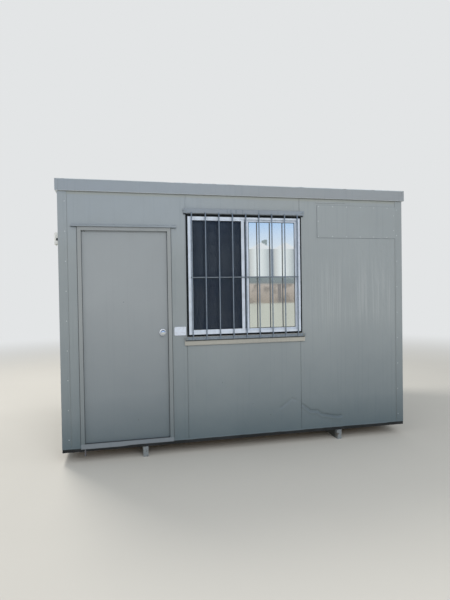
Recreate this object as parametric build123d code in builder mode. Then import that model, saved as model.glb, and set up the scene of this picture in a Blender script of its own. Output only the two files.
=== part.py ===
# Portable site cabin: insulated panel walls and roof on a steel base with timber bearers
# Millimetres. +X runs right as seen from the front, +Y runs back, +Z up.
# The origin is the middle of the plan, on the ground under the bearers.
import os
from build123d import *

os.makedirs("parts", exist_ok=True)

# Shell, measured over the outer skins of the wall panels
panel_module = 1200.0
end_modules = 2
wall_exposed = 2435.0
panel_thickness = 50.0
roof_thickness = 75.0

# Joints between panels: a tongue in a groove, with bevelled skins that leave a fine V
skin_bevel = 2.0
tongue_depth = 12.0
tongue_width = 16.0
tongue_taper = 2.0
tongue_clearance = 0.5

# Bearers, base rails, joists and floor
bearer_width = 50.0
bearer_height = 100.0
bearer_offset = 1026.0
bearer_overhang = 10.0
bearer_bevel = 2.0
rail_height = 32.0
rail_wall = 3.0
joist_size = 40.0
joist_wall = 2.5
joist_count = 7
deck_thickness = 18.0

# Folded sheet trims
sheet = 1.6
corner_leg = 80.0
fascia_height = 110.0
fascia_overhang = 20.0
fascia_top_flange = 60.0
fascia_hem = 12.0
fascia_wrap = 28.0
fascia_first_length = 2744.0
fascia_lap = 40.0
trim_fit = 0.3
roof_cap_width = 70.0
roof_cap_height = 10.0
roof_cap_foot = 18.0

# Door opening and leaf
door_from_joint = 590.0
leaf_width = 820.0
leaf_height = 2040.0
leaf_thickness = 35.0
leaf_gap = 5.0
leaf_floor_gap = 7.0
leaf_bevel = 1.5
stop_lap = 5.0

# Door frame, folded from sheet, with its threshold and head flashing
frame_sheet = 2.0
frame_proud = 10.0
frame_face = 35.0
frame_fit = 1.0
stop_width = 10.0
stop_depth = 23.0
sill_sheet = 3.0
sill_drop = 9.0
head_flashing_lap = 55.0
head_flashing_reach = 22.0
head_flashing_leg = 20.0
head_flashing_lip = 14.0
head_flashing_fall = 6.0

# Butt hinges
hinge_count = 3
hinge_height = 100.0
hinge_inset = 180.0
hinge_plate = 2.0
hinge_plate_margin = 4.0
barrel_radius = 5.5
pin_radius = 3.0
pin_fit = 0.1
barrel_clearance = 0.5
knuckle_count = 3
knuckle_gap = 0.5

# Knob, roses and tubular latch
knob_backset = 60.0
knob_height = 1043.0
cross_bore_radius = 27.0
rose_lap = 5.5
rose_thickness = 8.0
rose_rim = 3.0
neck_radius = 10.0
neck_fit = 0.3
knob_clearance = 4.0
knob_radius = 26.0
knob_cone = 18.0
knob_band = 16.0
knob_bevel = 8.0
spindle_size = 8.0
hub_fit = 0.8
latch_radius = 12.0
latch_bore_fit = 0.5
faceplate_height = 57.0
faceplate_width = 25.0
faceplate_thickness = 2.0

# Window opening and aluminium sliding window
window_sill_height = 1022.0
window_bay_margin = 20.0
window_width = 1180.0
window_height = 1180.0
packing_side = 20.0
packing_level = 22.0
window_proud = 12.0
window_face = 26.0
window_web = 14.0
track_fin = 2.5
sash_thickness = 15.0
track_clearance = 0.5
sash_rail = 30.0
sash_stile = 40.0
meeting_stile = 27.0
sash_top_play = 2.0
fixed_sash_offset = 8.0
glass_thickness = 4.0
glass_lap = 8.0
glass_play = 0.5
screen_thickness = 10.0
screen_frame = 32.0
screen_gap = 20.0
mesh_thickness = 0.8
gasket_recess = 12.0
gasket_depth = 28.0

# Security guard over the window
guard_lap = 22.0
guard_reach = 26.0
guard_angle_sheet = 4.0
guard_head_leg = 44.0
guard_head_lift = 4.0
guard_foot_leg = 30.0
guard_foot_drop = 1.0
bar_diameter = 12.0
bar_end_margin = 77.6
bar_count = 9
bar_bite = 0.5
bar_head_lap = 8.0
cross_bar_drop = 21.0

# Window sill flashing
sill_flashing_margin = 3.0
sill_flashing_drop = 84.0
sill_flashing_reach = 8.0
sill_flashing_kick = 6.0

# Blanking plate over the former opening at the upper right
blank_width = 920.0
blank_height = 345.0
blank_below_fascia = 66.0

# Power inlet on the left end and power outlet beside the door
inlet_depth = 45.0
inlet_width = 100.0
inlet_height = 112.0
inlet_below_fascia = 377.0
inlet_lid = 12.0
inlet_lid_lip = 3.0
inlet_corner = 6.0
inlet_hole_radius = 14.0
inlet_hole_drop = 68.0
inlet_hole_depth = 20.0
outlet_width = 117.0
outlet_height = 86.0
outlet_from_joint = 70.0
outlet_rise = 1083.0
outlet_thickness = 9.0
outlet_corner = 9.0
outlet_edge = 2.5
socket_offset = 29.0
socket_drop = 12.0
socket_radius = 17.0
socket_rise = 1.5
slot_length = 7.0
slot_width = 2.0
slot_depth = 6.0
slot_ring = 7.9
earth_slot_angle = -90.0
slot_spread = 120.0
slot_tilt = 30.0
rocker_width = 11.0
rocker_height = 17.0
rocker_rise = 3.0
rocker_lift = 24.0

# Levels and faces that follow from the sizes above: a window bay between two whole panel modules
window_bay = window_width + window_bay_margin
wall_length = 2 * panel_module + window_bay
wall_depth = end_modules * panel_module
front_face = -wall_depth / 2
back_face = wall_depth / 2
left_face = -wall_length / 2
right_face = wall_length / 2
base_bottom = bearer_height
wall_bottom = base_bottom + rail_height
floor_top = base_bottom + joist_size + deck_thickness
fascia_bottom = wall_bottom + wall_exposed
fascia_top = fascia_bottom + fascia_height
roof_top = fascia_top - sheet
wall_top = roof_top - roof_thickness
room_half_length = wall_length / 2 - panel_thickness
room_half_depth = wall_depth / 2 - panel_thickness
joint_half = window_bay / 2


def wall_plane(x, y, heading, z=wall_bottom):
    """Plan plane of a wall: x runs along its outer skin, y runs into the wall."""
    return Plane(origin=(x, y, z), x_dir=heading, z_dir=(0, 0, 1))


def facade(depth):
    """Plane parallel to the front, this far in from its outer skin, seen from outside."""
    return Plane.XZ.offset(-(front_face + depth))


def plain_edge(x, thickness):
    """Square edge of a panel, from its outer skin to its inner one."""
    return [(x, 0), (x, thickness)]


def joint_edge(x, side, thickness, clearance=0.0):
    """Jointed edge: side +1 is a left edge with its groove, side -1 a right edge with its tongue."""
    middle = thickness / 2
    half = tongue_width / 2 + clearance
    reach = tongue_depth + clearance
    return [
        (x + side * skin_bevel, 0),
        (x, skin_bevel),
        (x, middle - half),
        (x + reach, middle - half + tongue_taper),
        (x + reach, middle + half - tongue_taper),
        (x, middle + half),
        (x, thickness - skin_bevel),
        (x + side * skin_bevel, thickness),
    ]


def panel_outline(left, right, groove, tongue, thickness=panel_thickness):
    """Section of a sandwich panel from its left edge to its right one."""
    near = joint_edge(left, 1, thickness, tongue_clearance) if groove else plain_edge(left, thickness)
    far = joint_edge(right, -1, thickness) if tongue else plain_edge(right, thickness)
    return Polygon(*near, *reversed(far), align=None)


def folded(points, thickness):
    """Section of a folded sheet that lies to the left of its line of points."""
    with BuildSketch() as section:
        with BuildLine():
            Polyline(*points)
            offset(amount=thickness, side=Side.LEFT, kind=Kind.INTERSECTION)
        make_face()
    return section.sketch


# Bearers: two timber beams from front to back under the base
for side, centre_x in (("left", -bearer_offset), ("right", bearer_offset)):
    with BuildPart() as bearer:
        with BuildSketch(Plane.XY):
            with Locations((centre_x, 0)):
                Rectangle(bearer_width, wall_depth + 2 * bearer_overhang)
        extrude(amount=bearer_height)
        chamfer(bearer.edges().filter_by(Axis.Y), length=bearer_bevel)
    bearer.part.label = f"bearer_{side}"
    export_step(bearer.part, f"parts/bearer_{side}.step")

# Base rails: hollow steel sections under the four walls
for side, rail_y in (("front", front_face), ("back", back_face - panel_thickness)):
    with BuildPart() as long_rail:
        with BuildSketch(Plane.YZ.offset(left_face)):
            with Locations((rail_y + panel_thickness / 2, base_bottom + rail_height / 2)):
                Rectangle(panel_thickness, rail_height)
                Rectangle(panel_thickness - 2 * rail_wall, rail_height - 2 * rail_wall, mode=Mode.SUBTRACT)
        extrude(amount=wall_length)
    long_rail.part.label = f"base_rail_{side}"
    export_step(long_rail.part, f"parts/base_rail_{side}.step")

with BuildPart() as side_rails:
    with BuildSketch(Plane.XZ.offset(-room_half_depth)):
        for rail_x in (left_face + panel_thickness / 2, right_face - panel_thickness / 2):
            with Locations((rail_x, base_bottom + rail_height / 2)):
                Rectangle(panel_thickness, rail_height)
                Rectangle(panel_thickness - 2 * rail_wall, rail_height - 2 * rail_wall, mode=Mode.SUBTRACT)
    extrude(amount=2 * room_half_depth)
side_rails.part.label = "side_base_rails"
export_step(side_rails.part, "parts/side_base_rails.step")

# Joists: square hollow sections between the side rails, the outer two against the long rails
joist_reach = room_half_depth - joist_size / 2
joist_spacing = 2 * joist_reach / (joist_count - 1)
with BuildPart() as joists:
    with BuildSketch(Plane.YZ.offset(-room_half_length)):
        for row in range(joist_count):
            with Locations((-joist_reach + row * joist_spacing, base_bottom + joist_size / 2)):
                Rectangle(joist_size, joist_size)
                Rectangle(joist_size - 2 * joist_wall, joist_size - 2 * joist_wall, mode=Mode.SUBTRACT)
    extrude(amount=2 * room_half_length)
joists.part.label = "floor_joists"
export_step(joists.part, "parts/floor_joists.step")

# Floor deck: sheet floor on the joists, wall to wall
with BuildPart() as deck:
    with BuildSketch(Plane.XY.offset(floor_top - deck_thickness)):
        Rectangle(2 * room_half_length, 2 * room_half_depth)
    extrude(amount=deck_thickness)
deck.part.label = "floor_deck"
export_step(deck.part, "parts/floor_deck.step")

# Door opening: the leaf sits in a rebate, and the frame laps both skins round the cut
leaf_bottom = floor_top + leaf_floor_gap
door_centre_x = -joint_half - door_from_joint
leaf_left = door_centre_x - leaf_width / 2
leaf_right = door_centre_x + leaf_width / 2
rebate_half = leaf_width / 2 + leaf_gap
rebate_top = leaf_bottom + leaf_height + leaf_gap
stop_half = rebate_half - stop_width
face_half = stop_half + frame_face
cut_half = rebate_half + frame_sheet + frame_fit
cut_left = door_centre_x - cut_half
cut_right = door_centre_x + cut_half
cut_top = rebate_top + frame_sheet + frame_fit
frame_top = rebate_top - stop_width + frame_face
stop_face = stop_depth - frame_proud
leaf_outer = stop_face + leaf_gap
leaf_inner = leaf_outer + leaf_thickness

# Window opening: it starts at the joint beside the door and takes in the packing round the frame
opening_width = window_width + 2 * packing_side
opening_height = window_height + 2 * packing_level
opening_bottom = wall_bottom + window_sill_height
opening_top = opening_bottom + opening_height
window_centre_x = -joint_half + opening_width / 2
window_centre_z = opening_bottom + opening_height / 2

# Front wall: panels parted beside and over the door, and a window bay parted over the window
front_pieces = [
    ("front_panel_left_of_door", left_face, cut_left, wall_bottom, wall_top, False, False),
    ("front_panel_over_door", cut_left, cut_right, cut_top, wall_top, False, False),
    ("front_panel_right_of_door", cut_right, -joint_half, wall_bottom, wall_top, False, True),
    ("front_panel_under_window", -joint_half, joint_half, wall_bottom, opening_top, True, True),
    ("front_panel_over_window", -joint_half, joint_half, opening_top, wall_top, True, True),
    ("front_panel_right", joint_half, right_face, wall_bottom, wall_top, True, False),
]
for name, left, right, bottom, top, groove, tongue in front_pieces:
    with BuildPart() as front_panel:
        with BuildSketch(wall_plane(0, front_face, (1, 0, 0), bottom)):
            panel_outline(left, right, groove, tongue)
        extrude(amount=top - bottom)
        with BuildSketch(facade(0)):
            with Locations((window_centre_x, window_centre_z)):
                Rectangle(opening_width, opening_height)
        extrude(amount=-panel_thickness, mode=Mode.SUBTRACT)
    front_panel.part.label = name
    export_step(front_panel.part, f"parts/{name}.step")

# Back wall: three whole panels, named as seen from the front
back_pieces = [
    ("back_panel_right", left_face, -joint_half, False, True),
    ("back_panel_middle", -joint_half, joint_half, True, True),
    ("back_panel_left", joint_half, right_face, True, False),
]
for name, left, right, groove, tongue in back_pieces:
    with BuildPart() as back_panel:
        with BuildSketch(wall_plane(0, back_face, (-1, 0, 0))):
            panel_outline(left, right, groove, tongue)
        extrude(amount=wall_top - wall_bottom)
    back_panel.part.label = name
    export_step(back_panel.part, f"parts/{name}.step")

# End walls: two panels each, between the front and back walls
end_pieces = [
    ("left_end_panel_back", left_face, (0, -1, 0), -room_half_depth, 0.0, False, True),
    ("left_end_panel_front", left_face, (0, -1, 0), 0.0, room_half_depth, True, False),
    ("right_end_panel_front", right_face, (0, 1, 0), -room_half_depth, 0.0, False, True),
    ("right_end_panel_back", right_face, (0, 1, 0), 0.0, room_half_depth, True, False),
]
for name, face, heading, left, right, groove, tongue in end_pieces:
    with BuildPart() as end_panel:
        with BuildSketch(wall_plane(face, 0, heading)):
            panel_outline(left, right, groove, tongue)
        extrude(amount=wall_top - wall_bottom)
    end_panel.part.label = name
    export_step(end_panel.part, f"parts/{name}.step")

# Corner flashings: folded angles over the four upright corners
with BuildPart() as corners:
    with BuildSketch(Plane.XY.offset(wall_bottom)):
        with Locations((left_face, front_face)):
            Polygon(
                (-sheet, -sheet),
                (corner_leg, -sheet),
                (corner_leg, 0),
                (0, 0),
                (0, corner_leg),
                (-sheet, corner_leg),
                align=None,
            )
        mirror(about=Plane.YZ)
        mirror(about=Plane.XZ)
    extrude(amount=wall_top - wall_bottom)
corners.part.label = "corner_flashings"
export_step(corners.part, "parts/corner_flashings.step")

# Roof: three insulated panels laid front to back, out to the fascia on every side
roof_reach = fascia_overhang - sheet - trim_fit
roof_half_length = wall_length / 2 + roof_reach
roof_half_depth = wall_depth / 2 + roof_reach
roof_pieces = [
    ("roof_panel_left", -roof_half_length, -joint_half, False, True),
    ("roof_panel_middle", -joint_half, joint_half, True, True),
    ("roof_panel_right", joint_half, roof_half_length, True, False),
]
for name, left, right, groove, tongue in roof_pieces:
    with BuildPart() as roof_panel:
        with BuildSketch(Plane(origin=(0, -roof_half_depth, wall_top), x_dir=(1, 0, 0), z_dir=(0, -1, 0))):
            panel_outline(left, right, groove, tongue, roof_thickness)
        extrude(amount=-2 * roof_half_depth)
    roof_panel.part.label = name
    export_step(roof_panel.part, f"parts/{name}.step")

# Fascia cappings: top flange on the roof, deep face, and a return lip to the wall
hem_line = 2 * sheet + trim_fit
fascia_section = [
    (-hem_line, fascia_bottom + sheet + fascia_hem),
    (-hem_line, fascia_bottom + sheet),
    (sheet - fascia_overhang, fascia_bottom + sheet),
    (sheet - fascia_overhang, roof_top),
    (fascia_top_flange - fascia_overhang, roof_top),
]
fascia_half_length = wall_length / 2 + fascia_overhang
fascia_half_depth = wall_depth / 2 + fascia_overhang
long_fascia_half = fascia_half_length - sheet
fascia_lap_x = fascia_first_length - fascia_half_length
return_end = wall_depth / 2 + sheet + trim_fit

# The front capping is two lengths, the right one lapped over the left
with BuildPart() as fascia_front:
    with BuildSketch(Plane(origin=(-long_fascia_half, front_face, 0), x_dir=(0, 1, 0), z_dir=(1, 0, 0))):
        add(folded(fascia_section, sheet))
    extrude(amount=2 * long_fascia_half)
    with BuildSketch(facade(-fascia_overhang)):
        with Locations((fascia_lap_x - fascia_lap, fascia_bottom)):
            lap_length = fascia_half_length - fascia_wrap - fascia_lap_x + fascia_lap
            Rectangle(lap_length, fascia_height, align=(Align.MIN, Align.MIN))
    extrude(amount=sheet)
fascia_front.part.label = "fascia_front"
export_step(fascia_front.part, "parts/fascia_front.step")

with BuildPart() as fascia_back:
    with BuildSketch(Plane(origin=(long_fascia_half, back_face, 0), x_dir=(0, -1, 0), z_dir=(-1, 0, 0))):
        add(folded(fascia_section, sheet))
    extrude(amount=2 * long_fascia_half)
fascia_back.part.label = "fascia_back"
export_step(fascia_back.part, "parts/fascia_back.step")

# The side cappings stop at the flanges of the long ones and wrap round their faces
for side, face, inward in (("left", left_face, 1), ("right", right_face, -1)):
    with BuildPart() as fascia_side:
        start_y = fascia_half_depth * inward
        with BuildSketch(Plane(origin=(face, start_y, 0), x_dir=(inward, 0, 0), z_dir=(0, -inward, 0))):
            add(folded(fascia_section, sheet))
        extrude(amount=2 * fascia_half_depth)
        flange_x = face + inward * (sheet - fascia_overhang)
        for end in (-1, 1):
            with BuildSketch(Plane.XY.offset(roof_top)):
                with Locations((flange_x, end * fascia_half_depth)):
                    Rectangle(
                        fascia_top_flange,
                        fascia_top_flange,
                        align=(Align.MIN if inward > 0 else Align.MAX, Align.MAX if end > 0 else Align.MIN),
                    )
            extrude(amount=sheet, mode=Mode.SUBTRACT)
            with BuildSketch(Plane.XY.offset(fascia_bottom)):
                with Locations((flange_x, end * fascia_half_depth)):
                    Rectangle(
                        fascia_overhang,
                        fascia_half_depth - return_end,
                        align=(Align.MIN if inward > 0 else Align.MAX, Align.MAX if end > 0 else Align.MIN),
                    )
            extrude(amount=sheet + fascia_hem, mode=Mode.SUBTRACT)
            with BuildSketch(Plane.XY.offset(fascia_bottom)):
                with Locations((face - inward * fascia_overhang, end * fascia_half_depth)):
                    Rectangle(
                        fascia_wrap,
                        sheet,
                        align=(Align.MIN if inward > 0 else Align.MAX, Align.MIN if end > 0 else Align.MAX),
                    )
            extrude(amount=fascia_height)
    fascia_side.part.label = f"fascia_{side}"
    export_step(fascia_side.part, f"parts/fascia_{side}.step")

# Roof joint caps: hat strips over the two joints, from the front capping to the back one
cap_reach = fascia_half_depth - fascia_top_flange
cap_half = roof_cap_width / 2
cap_shoulder = cap_half - roof_cap_foot
cap_section = [
    (-cap_half, 0),
    (-cap_shoulder, 0),
    (-cap_shoulder, roof_cap_height),
    (cap_shoulder, roof_cap_height),
    (cap_shoulder, 0),
    (cap_half, 0),
]
with BuildPart() as roof_caps:
    for joint_x in (-joint_half, joint_half):
        with BuildSketch(Plane(origin=(joint_x, -cap_reach, roof_top), x_dir=(1, 0, 0), z_dir=(0, -1, 0))):
            add(folded(cap_section, sheet))
        extrude(amount=-2 * cap_reach)
roof_caps.part.label = "roof_joint_caps"
export_step(roof_caps.part, "parts/roof_joint_caps.step")

# Door frame: one folded section with its stop and rebate, mitred round the head
frame_section = [
    (-frame_face + stop_width, 0),
    (-frame_face + stop_width, -frame_proud),
    (stop_width, -frame_proud),
    (stop_width, stop_face),
    (0, stop_face),
    (0, panel_thickness + frame_sheet),
    (-frame_face + stop_width, panel_thickness + frame_sheet),
]
rebate_left = door_centre_x - rebate_half
rebate_right = door_centre_x + rebate_half
with BuildPart() as door_frame:
    with BuildLine():
        frame_path = Polyline(
            (rebate_left, front_face, wall_bottom),
            (rebate_left, front_face, rebate_top),
            (rebate_right, front_face, rebate_top),
            (rebate_right, front_face, wall_bottom),
        )
    with BuildSketch(Plane(origin=frame_path @ 0, x_dir=(1, 0, 0), z_dir=(0, 0, 1))):
        add(folded(frame_section, frame_sheet))
    sweep(path=frame_path, transition=Transition.RIGHT)
    with BuildSketch(Plane.XY.offset(wall_bottom)):
        with Locations((door_centre_x, front_face + panel_thickness)):
            Rectangle(2 * face_half, frame_sheet, align=(Align.CENTER, Align.MIN))
    extrude(amount=floor_top - wall_bottom, mode=Mode.SUBTRACT)
door_frame.part.label = "door_frame"
export_step(door_frame.part, "parts/door_frame.step")

# Door sill: folded threshold with a raised stop, and a cover plate across the frame
sill_top = leaf_bottom + stop_lap
sill_plate_front = frame_proud + frame_sheet
with BuildPart() as door_sill:
    with BuildSketch(Plane.YZ.offset(door_centre_x - stop_half)):
        with Locations((front_face, 0)):
            Polygon(
                (-frame_proud, wall_bottom),
                (-frame_proud, sill_top),
                (stop_face, sill_top),
                (stop_face, wall_bottom),
                align=None,
            )
    extrude(amount=2 * stop_half)
    with BuildSketch(Plane.YZ.offset(door_centre_x - rebate_half)):
        with Locations((front_face, 0)):
            Polygon(
                (stop_face, wall_bottom),
                (stop_face, floor_top),
                (panel_thickness, floor_top),
                (panel_thickness, wall_bottom),
                align=None,
            )
    extrude(amount=2 * rebate_half)
    with BuildSketch(Plane.YZ.offset(door_centre_x - rebate_half)):
        with Locations((front_face, 0)):
            Polygon(
                (sill_sheet - frame_proud, wall_bottom),
                (sill_sheet - frame_proud, sill_top - sill_sheet),
                (stop_face - sill_sheet, sill_top - sill_sheet),
                (stop_face - sill_sheet, floor_top - sill_sheet),
                (panel_thickness - sill_sheet, floor_top - sill_sheet),
                (panel_thickness - sill_sheet, wall_bottom),
                align=None,
            )
    extrude(amount=2 * rebate_half, mode=Mode.SUBTRACT)
    with BuildSketch(facade(-frame_proud)):
        with Locations((door_centre_x, wall_bottom - sill_drop)):
            Rectangle(2 * face_half, sill_top - wall_bottom + sill_drop, align=(Align.CENTER, Align.MIN))
    extrude(amount=frame_sheet)
door_sill.part.label = "door_sill"
export_step(door_sill.part, "parts/door_sill.step")

# Head flashing over the door: leg on the wall, sloping top and drip lip
head_section = [
    (-sheet, frame_top + trim_fit),
    (-sheet, frame_top + trim_fit + head_flashing_leg),
    (-head_flashing_reach, frame_top + trim_fit + head_flashing_leg - head_flashing_fall),
    (-head_flashing_reach, frame_top + trim_fit + head_flashing_leg - head_flashing_fall - head_flashing_lip),
]
with BuildPart() as head_flashing:
    head_flashing_left = door_centre_x - face_half - head_flashing_lap
    with BuildSketch(Plane(origin=(head_flashing_left, front_face, 0), x_dir=(0, 1, 0), z_dir=(1, 0, 0))):
        add(folded(list(reversed(head_section)), sheet))
    extrude(amount=2 * (face_half + head_flashing_lap))
head_flashing.part.label = "door_head_flashing"
export_step(head_flashing.part, "parts/door_head_flashing.step")

# Hinges: three butt hinges in the gap between leaf and frame, barrels inside the room
hinge_x = leaf_left - leaf_gap / 2
hinge_y = front_face + leaf_inner + barrel_radius + barrel_clearance
hinge_travel = leaf_height - 2 * hinge_inset - hinge_height
hinge_pitch = hinge_travel / (hinge_count - 1)
hinge_levels = [leaf_bottom + hinge_inset + hinge_pitch * step for step in range(hinge_count)]
knuckle_pitch = hinge_height / knuckle_count
plate_front = front_face + leaf_outer + hinge_plate_margin
plate_depth = hinge_y - plate_front
notch_radius = barrel_radius + knuckle_gap

with BuildPart() as hinge_frame_halves:
    for level in hinge_levels:
        with BuildSketch(Plane.XY.offset(level)):
            with Locations((rebate_left, plate_front)):
                Rectangle(hinge_plate, plate_depth, align=(Align.MIN, Align.MIN))
        extrude(amount=hinge_height)
        for knuckle in range(knuckle_count):
            knuckle_bottom = level + knuckle * knuckle_pitch
            with BuildSketch(Plane.XY.offset(knuckle_bottom)):
                with Locations((hinge_x, hinge_y)):
                    Circle(barrel_radius if knuckle % 2 == 0 else notch_radius)
            extrude(amount=knuckle_pitch, mode=Mode.ADD if knuckle % 2 == 0 else Mode.SUBTRACT)
        with BuildSketch(Plane.XY.offset(level)):
            with Locations((hinge_x, hinge_y)):
                Circle(pin_radius)
        extrude(amount=hinge_height)
hinge_frame_halves.part.label = "hinge_frame_halves"
export_step(hinge_frame_halves.part, "parts/hinge_frame_halves.step")

with BuildPart() as hinge_door_halves:
    for level in hinge_levels:
        with BuildSketch(Plane.XY.offset(level)):
            with Locations((leaf_left, plate_front)):
                Rectangle(hinge_plate, plate_depth, align=(Align.MAX, Align.MIN))
        extrude(amount=hinge_height)
        for knuckle in range(0, knuckle_count, 2):
            with BuildSketch(Plane.XY.offset(level + knuckle * knuckle_pitch - knuckle_gap)):
                with Locations((hinge_x, hinge_y)):
                    Circle(notch_radius)
            extrude(amount=knuckle_pitch + 2 * knuckle_gap, mode=Mode.SUBTRACT)
        for knuckle in range(1, knuckle_count, 2):
            with BuildSketch(Plane.XY.offset(level + knuckle * knuckle_pitch + knuckle_gap)):
                with Locations((hinge_x, hinge_y)):
                    Circle(barrel_radius)
            extrude(amount=knuckle_pitch - 2 * knuckle_gap)
        with BuildSketch(Plane.XY.offset(level)):
            with Locations((hinge_x, hinge_y)):
                Circle(pin_radius + pin_fit)
        extrude(amount=hinge_height, mode=Mode.SUBTRACT)
hinge_door_halves.part.label = "hinge_door_halves"
export_step(hinge_door_halves.part, "parts/hinge_door_halves.step")

# Door leaf: slab with bevelled edges, cross bore and latch bore for the lock
knob_x = leaf_right - knob_backset
knob_z = leaf_bottom + knob_height
leaf_middle_y = front_face + leaf_outer + leaf_thickness / 2
latch_plane = Plane(origin=(leaf_right, leaf_middle_y, knob_z), x_dir=(0, 1, 0), z_dir=(1, 0, 0))
with BuildPart() as door_leaf:
    with BuildSketch(facade(leaf_outer)):
        with Locations((door_centre_x, leaf_bottom + leaf_height / 2)):
            Rectangle(leaf_width, leaf_height)
    extrude(amount=-leaf_thickness)
    chamfer(door_leaf.faces().sort_by(Axis.Y)[0].edges(), length=leaf_bevel)
    with BuildSketch(facade(leaf_outer)):
        with Locations((knob_x, knob_z)):
            Circle(cross_bore_radius)
    extrude(amount=-leaf_thickness, mode=Mode.SUBTRACT)
    with BuildSketch(latch_plane):
        Circle(latch_radius + latch_bore_fit)
    extrude(amount=-knob_backset, mode=Mode.SUBTRACT)
    with BuildSketch(latch_plane):
        Rectangle(faceplate_width, faceplate_height)
    extrude(amount=-faceplate_thickness, mode=Mode.SUBTRACT)
door_leaf.part.label = "door_leaf"
export_step(door_leaf.part, "parts/door_leaf.step")

# Lock: turned roses on both faces and a tubular latch with its hub and faceplate
rose_radius = cross_bore_radius + rose_lap
hub_radius = spindle_size / 2**0.5 + hub_fit
with BuildPart() as door_lock:
    for face_y, outward in ((front_face + leaf_outer, -1), (front_face + leaf_inner, 1)):
        with BuildSketch(Plane(origin=(knob_x, face_y, knob_z), x_dir=(1, 0, 0), z_dir=(0, 0, 1))):
            Polygon(
                (neck_radius + neck_fit, 0),
                (rose_radius, 0),
                (rose_radius, outward * (rose_thickness - rose_rim)),
                (rose_radius - rose_rim, outward * rose_thickness),
                (neck_radius + neck_fit, outward * rose_thickness),
                align=None,
            )
        revolve(axis=Axis((knob_x, face_y, knob_z), (0, 1, 0)))
    with BuildSketch(latch_plane):
        Rectangle(faceplate_width, faceplate_height)
    extrude(amount=-faceplate_thickness)
    with BuildSketch(latch_plane):
        Circle(latch_radius)
    extrude(amount=-(knob_backset + latch_radius))
    with BuildSketch(facade(leaf_outer)):
        with Locations((knob_x, knob_z)):
            Circle(hub_radius)
    extrude(amount=-leaf_thickness, mode=Mode.SUBTRACT)
door_lock.part.label = "door_lock"
export_step(door_lock.part, "parts/door_lock.step")

# Knobs: one turned profile on each face, joined by the spindle through the latch
with BuildPart() as door_knob:
    for face_y, outward in ((front_face + leaf_outer, -1), (front_face + leaf_inner, 1)):
        back = outward * (rose_thickness + knob_clearance)
        shoulder = back + outward * knob_cone
        rim = shoulder + outward * knob_band
        front = rim + outward * knob_bevel
        with BuildSketch(Plane(origin=(knob_x, face_y, knob_z), x_dir=(1, 0, 0), z_dir=(0, 0, 1))):
            Polygon(
                (0, 0),
                (neck_radius, 0),
                (neck_radius, back),
                (knob_radius, shoulder),
                (knob_radius, rim),
                (knob_radius - knob_bevel, front),
                (0, front),
                align=None,
            )
        revolve(axis=Axis((knob_x, face_y, knob_z), (0, 1, 0)))
    with BuildSketch(facade(leaf_outer)):
        with Locations((knob_x, knob_z)):
            Rectangle(spindle_size, spindle_size)
    extrude(amount=-leaf_thickness)
door_knob.part.label = "door_knob"
export_step(door_knob.part, "parts/door_knob.step")

# Window frame: one aluminium extrusion with three tracks, mitred at its four corners
screen_track = screen_thickness + 2 * track_clearance
sash_track = sash_thickness + 2 * track_clearance
screen_front = track_fin
fixed_front = screen_front + screen_track + track_fin
sliding_front = fixed_front + sash_track + track_fin
window_depth = sliding_front + sash_track + track_fin
window_left = window_centre_x - window_width / 2
window_right = window_centre_x + window_width / 2
window_bottom = window_centre_z - window_height / 2
window_top = window_centre_z + window_height / 2
with BuildPart() as window_frame:
    with BuildLine():
        window_path = Polyline(
            (window_centre_x, front_face - window_proud, window_bottom),
            (window_right, front_face - window_proud, window_bottom),
            (window_right, front_face - window_proud, window_top),
            (window_left, front_face - window_proud, window_top),
            (window_left, front_face - window_proud, window_bottom),
            (window_centre_x, front_face - window_proud, window_bottom),
        )
    with BuildSketch(Plane(origin=window_path @ 0, x_dir=(0, 0, 1), z_dir=(1, 0, 0))):
        with Locations((0, 0)):
            Rectangle(window_web, window_depth, align=(Align.MIN, Align.MAX))
        for fin in (0, fixed_front - track_fin, sliding_front - track_fin, window_depth - track_fin):
            with Locations((0, -fin)):
                Rectangle(window_face, track_fin, align=(Align.MIN, Align.MAX))
    sweep(path=window_path, transition=Transition.RIGHT)
window_frame.part.label = "window_frame"
export_step(window_frame.part, "parts/window_frame.step")

# Sashes: the fixed one at the right in the middle track, the sliding one behind it
fixed_left = window_centre_x + fixed_sash_offset
sash_bottom = window_bottom + window_web
sash_height = window_height - 2 * window_web - sash_top_play
light_height = sash_height - 2 * sash_rail
fixed_depth = fixed_front + track_clearance - window_proud
sliding_depth = sliding_front + track_clearance - window_proud
glass_inset = (sash_thickness - glass_thickness) / 2
sash_list = [
    (fixed_left, window_right - window_web, meeting_stile, sash_stile, fixed_depth),
    (window_left + window_web, fixed_left + meeting_stile, sash_stile, meeting_stile, sliding_depth),
]
with BuildPart() as sashes:
    for left, right, left_stile, right_stile, depth in sash_list:
        light_left = left + left_stile
        light_width = right - right_stile - light_left
        with BuildSketch(facade(depth)):
            with Locations((left, sash_bottom)):
                Rectangle(right - left, sash_height, align=(Align.MIN, Align.MIN))
            with Locations((light_left, sash_bottom + sash_rail)):
                Rectangle(light_width, light_height, align=(Align.MIN, Align.MIN), mode=Mode.SUBTRACT)
        extrude(amount=-sash_thickness)
        with BuildSketch(facade(depth + glass_inset - glass_play)):
            with Locations((light_left - glass_lap, sash_bottom + sash_rail - glass_lap)):
                groove_height = light_height + 2 * glass_lap
                Rectangle(light_width + 2 * glass_lap, groove_height, align=(Align.MIN, Align.MIN))
        extrude(amount=-(glass_thickness + 2 * glass_play), mode=Mode.SUBTRACT)
sashes.part.label = "window_sashes"
export_step(sashes.part, "parts/window_sashes.step")

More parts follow.
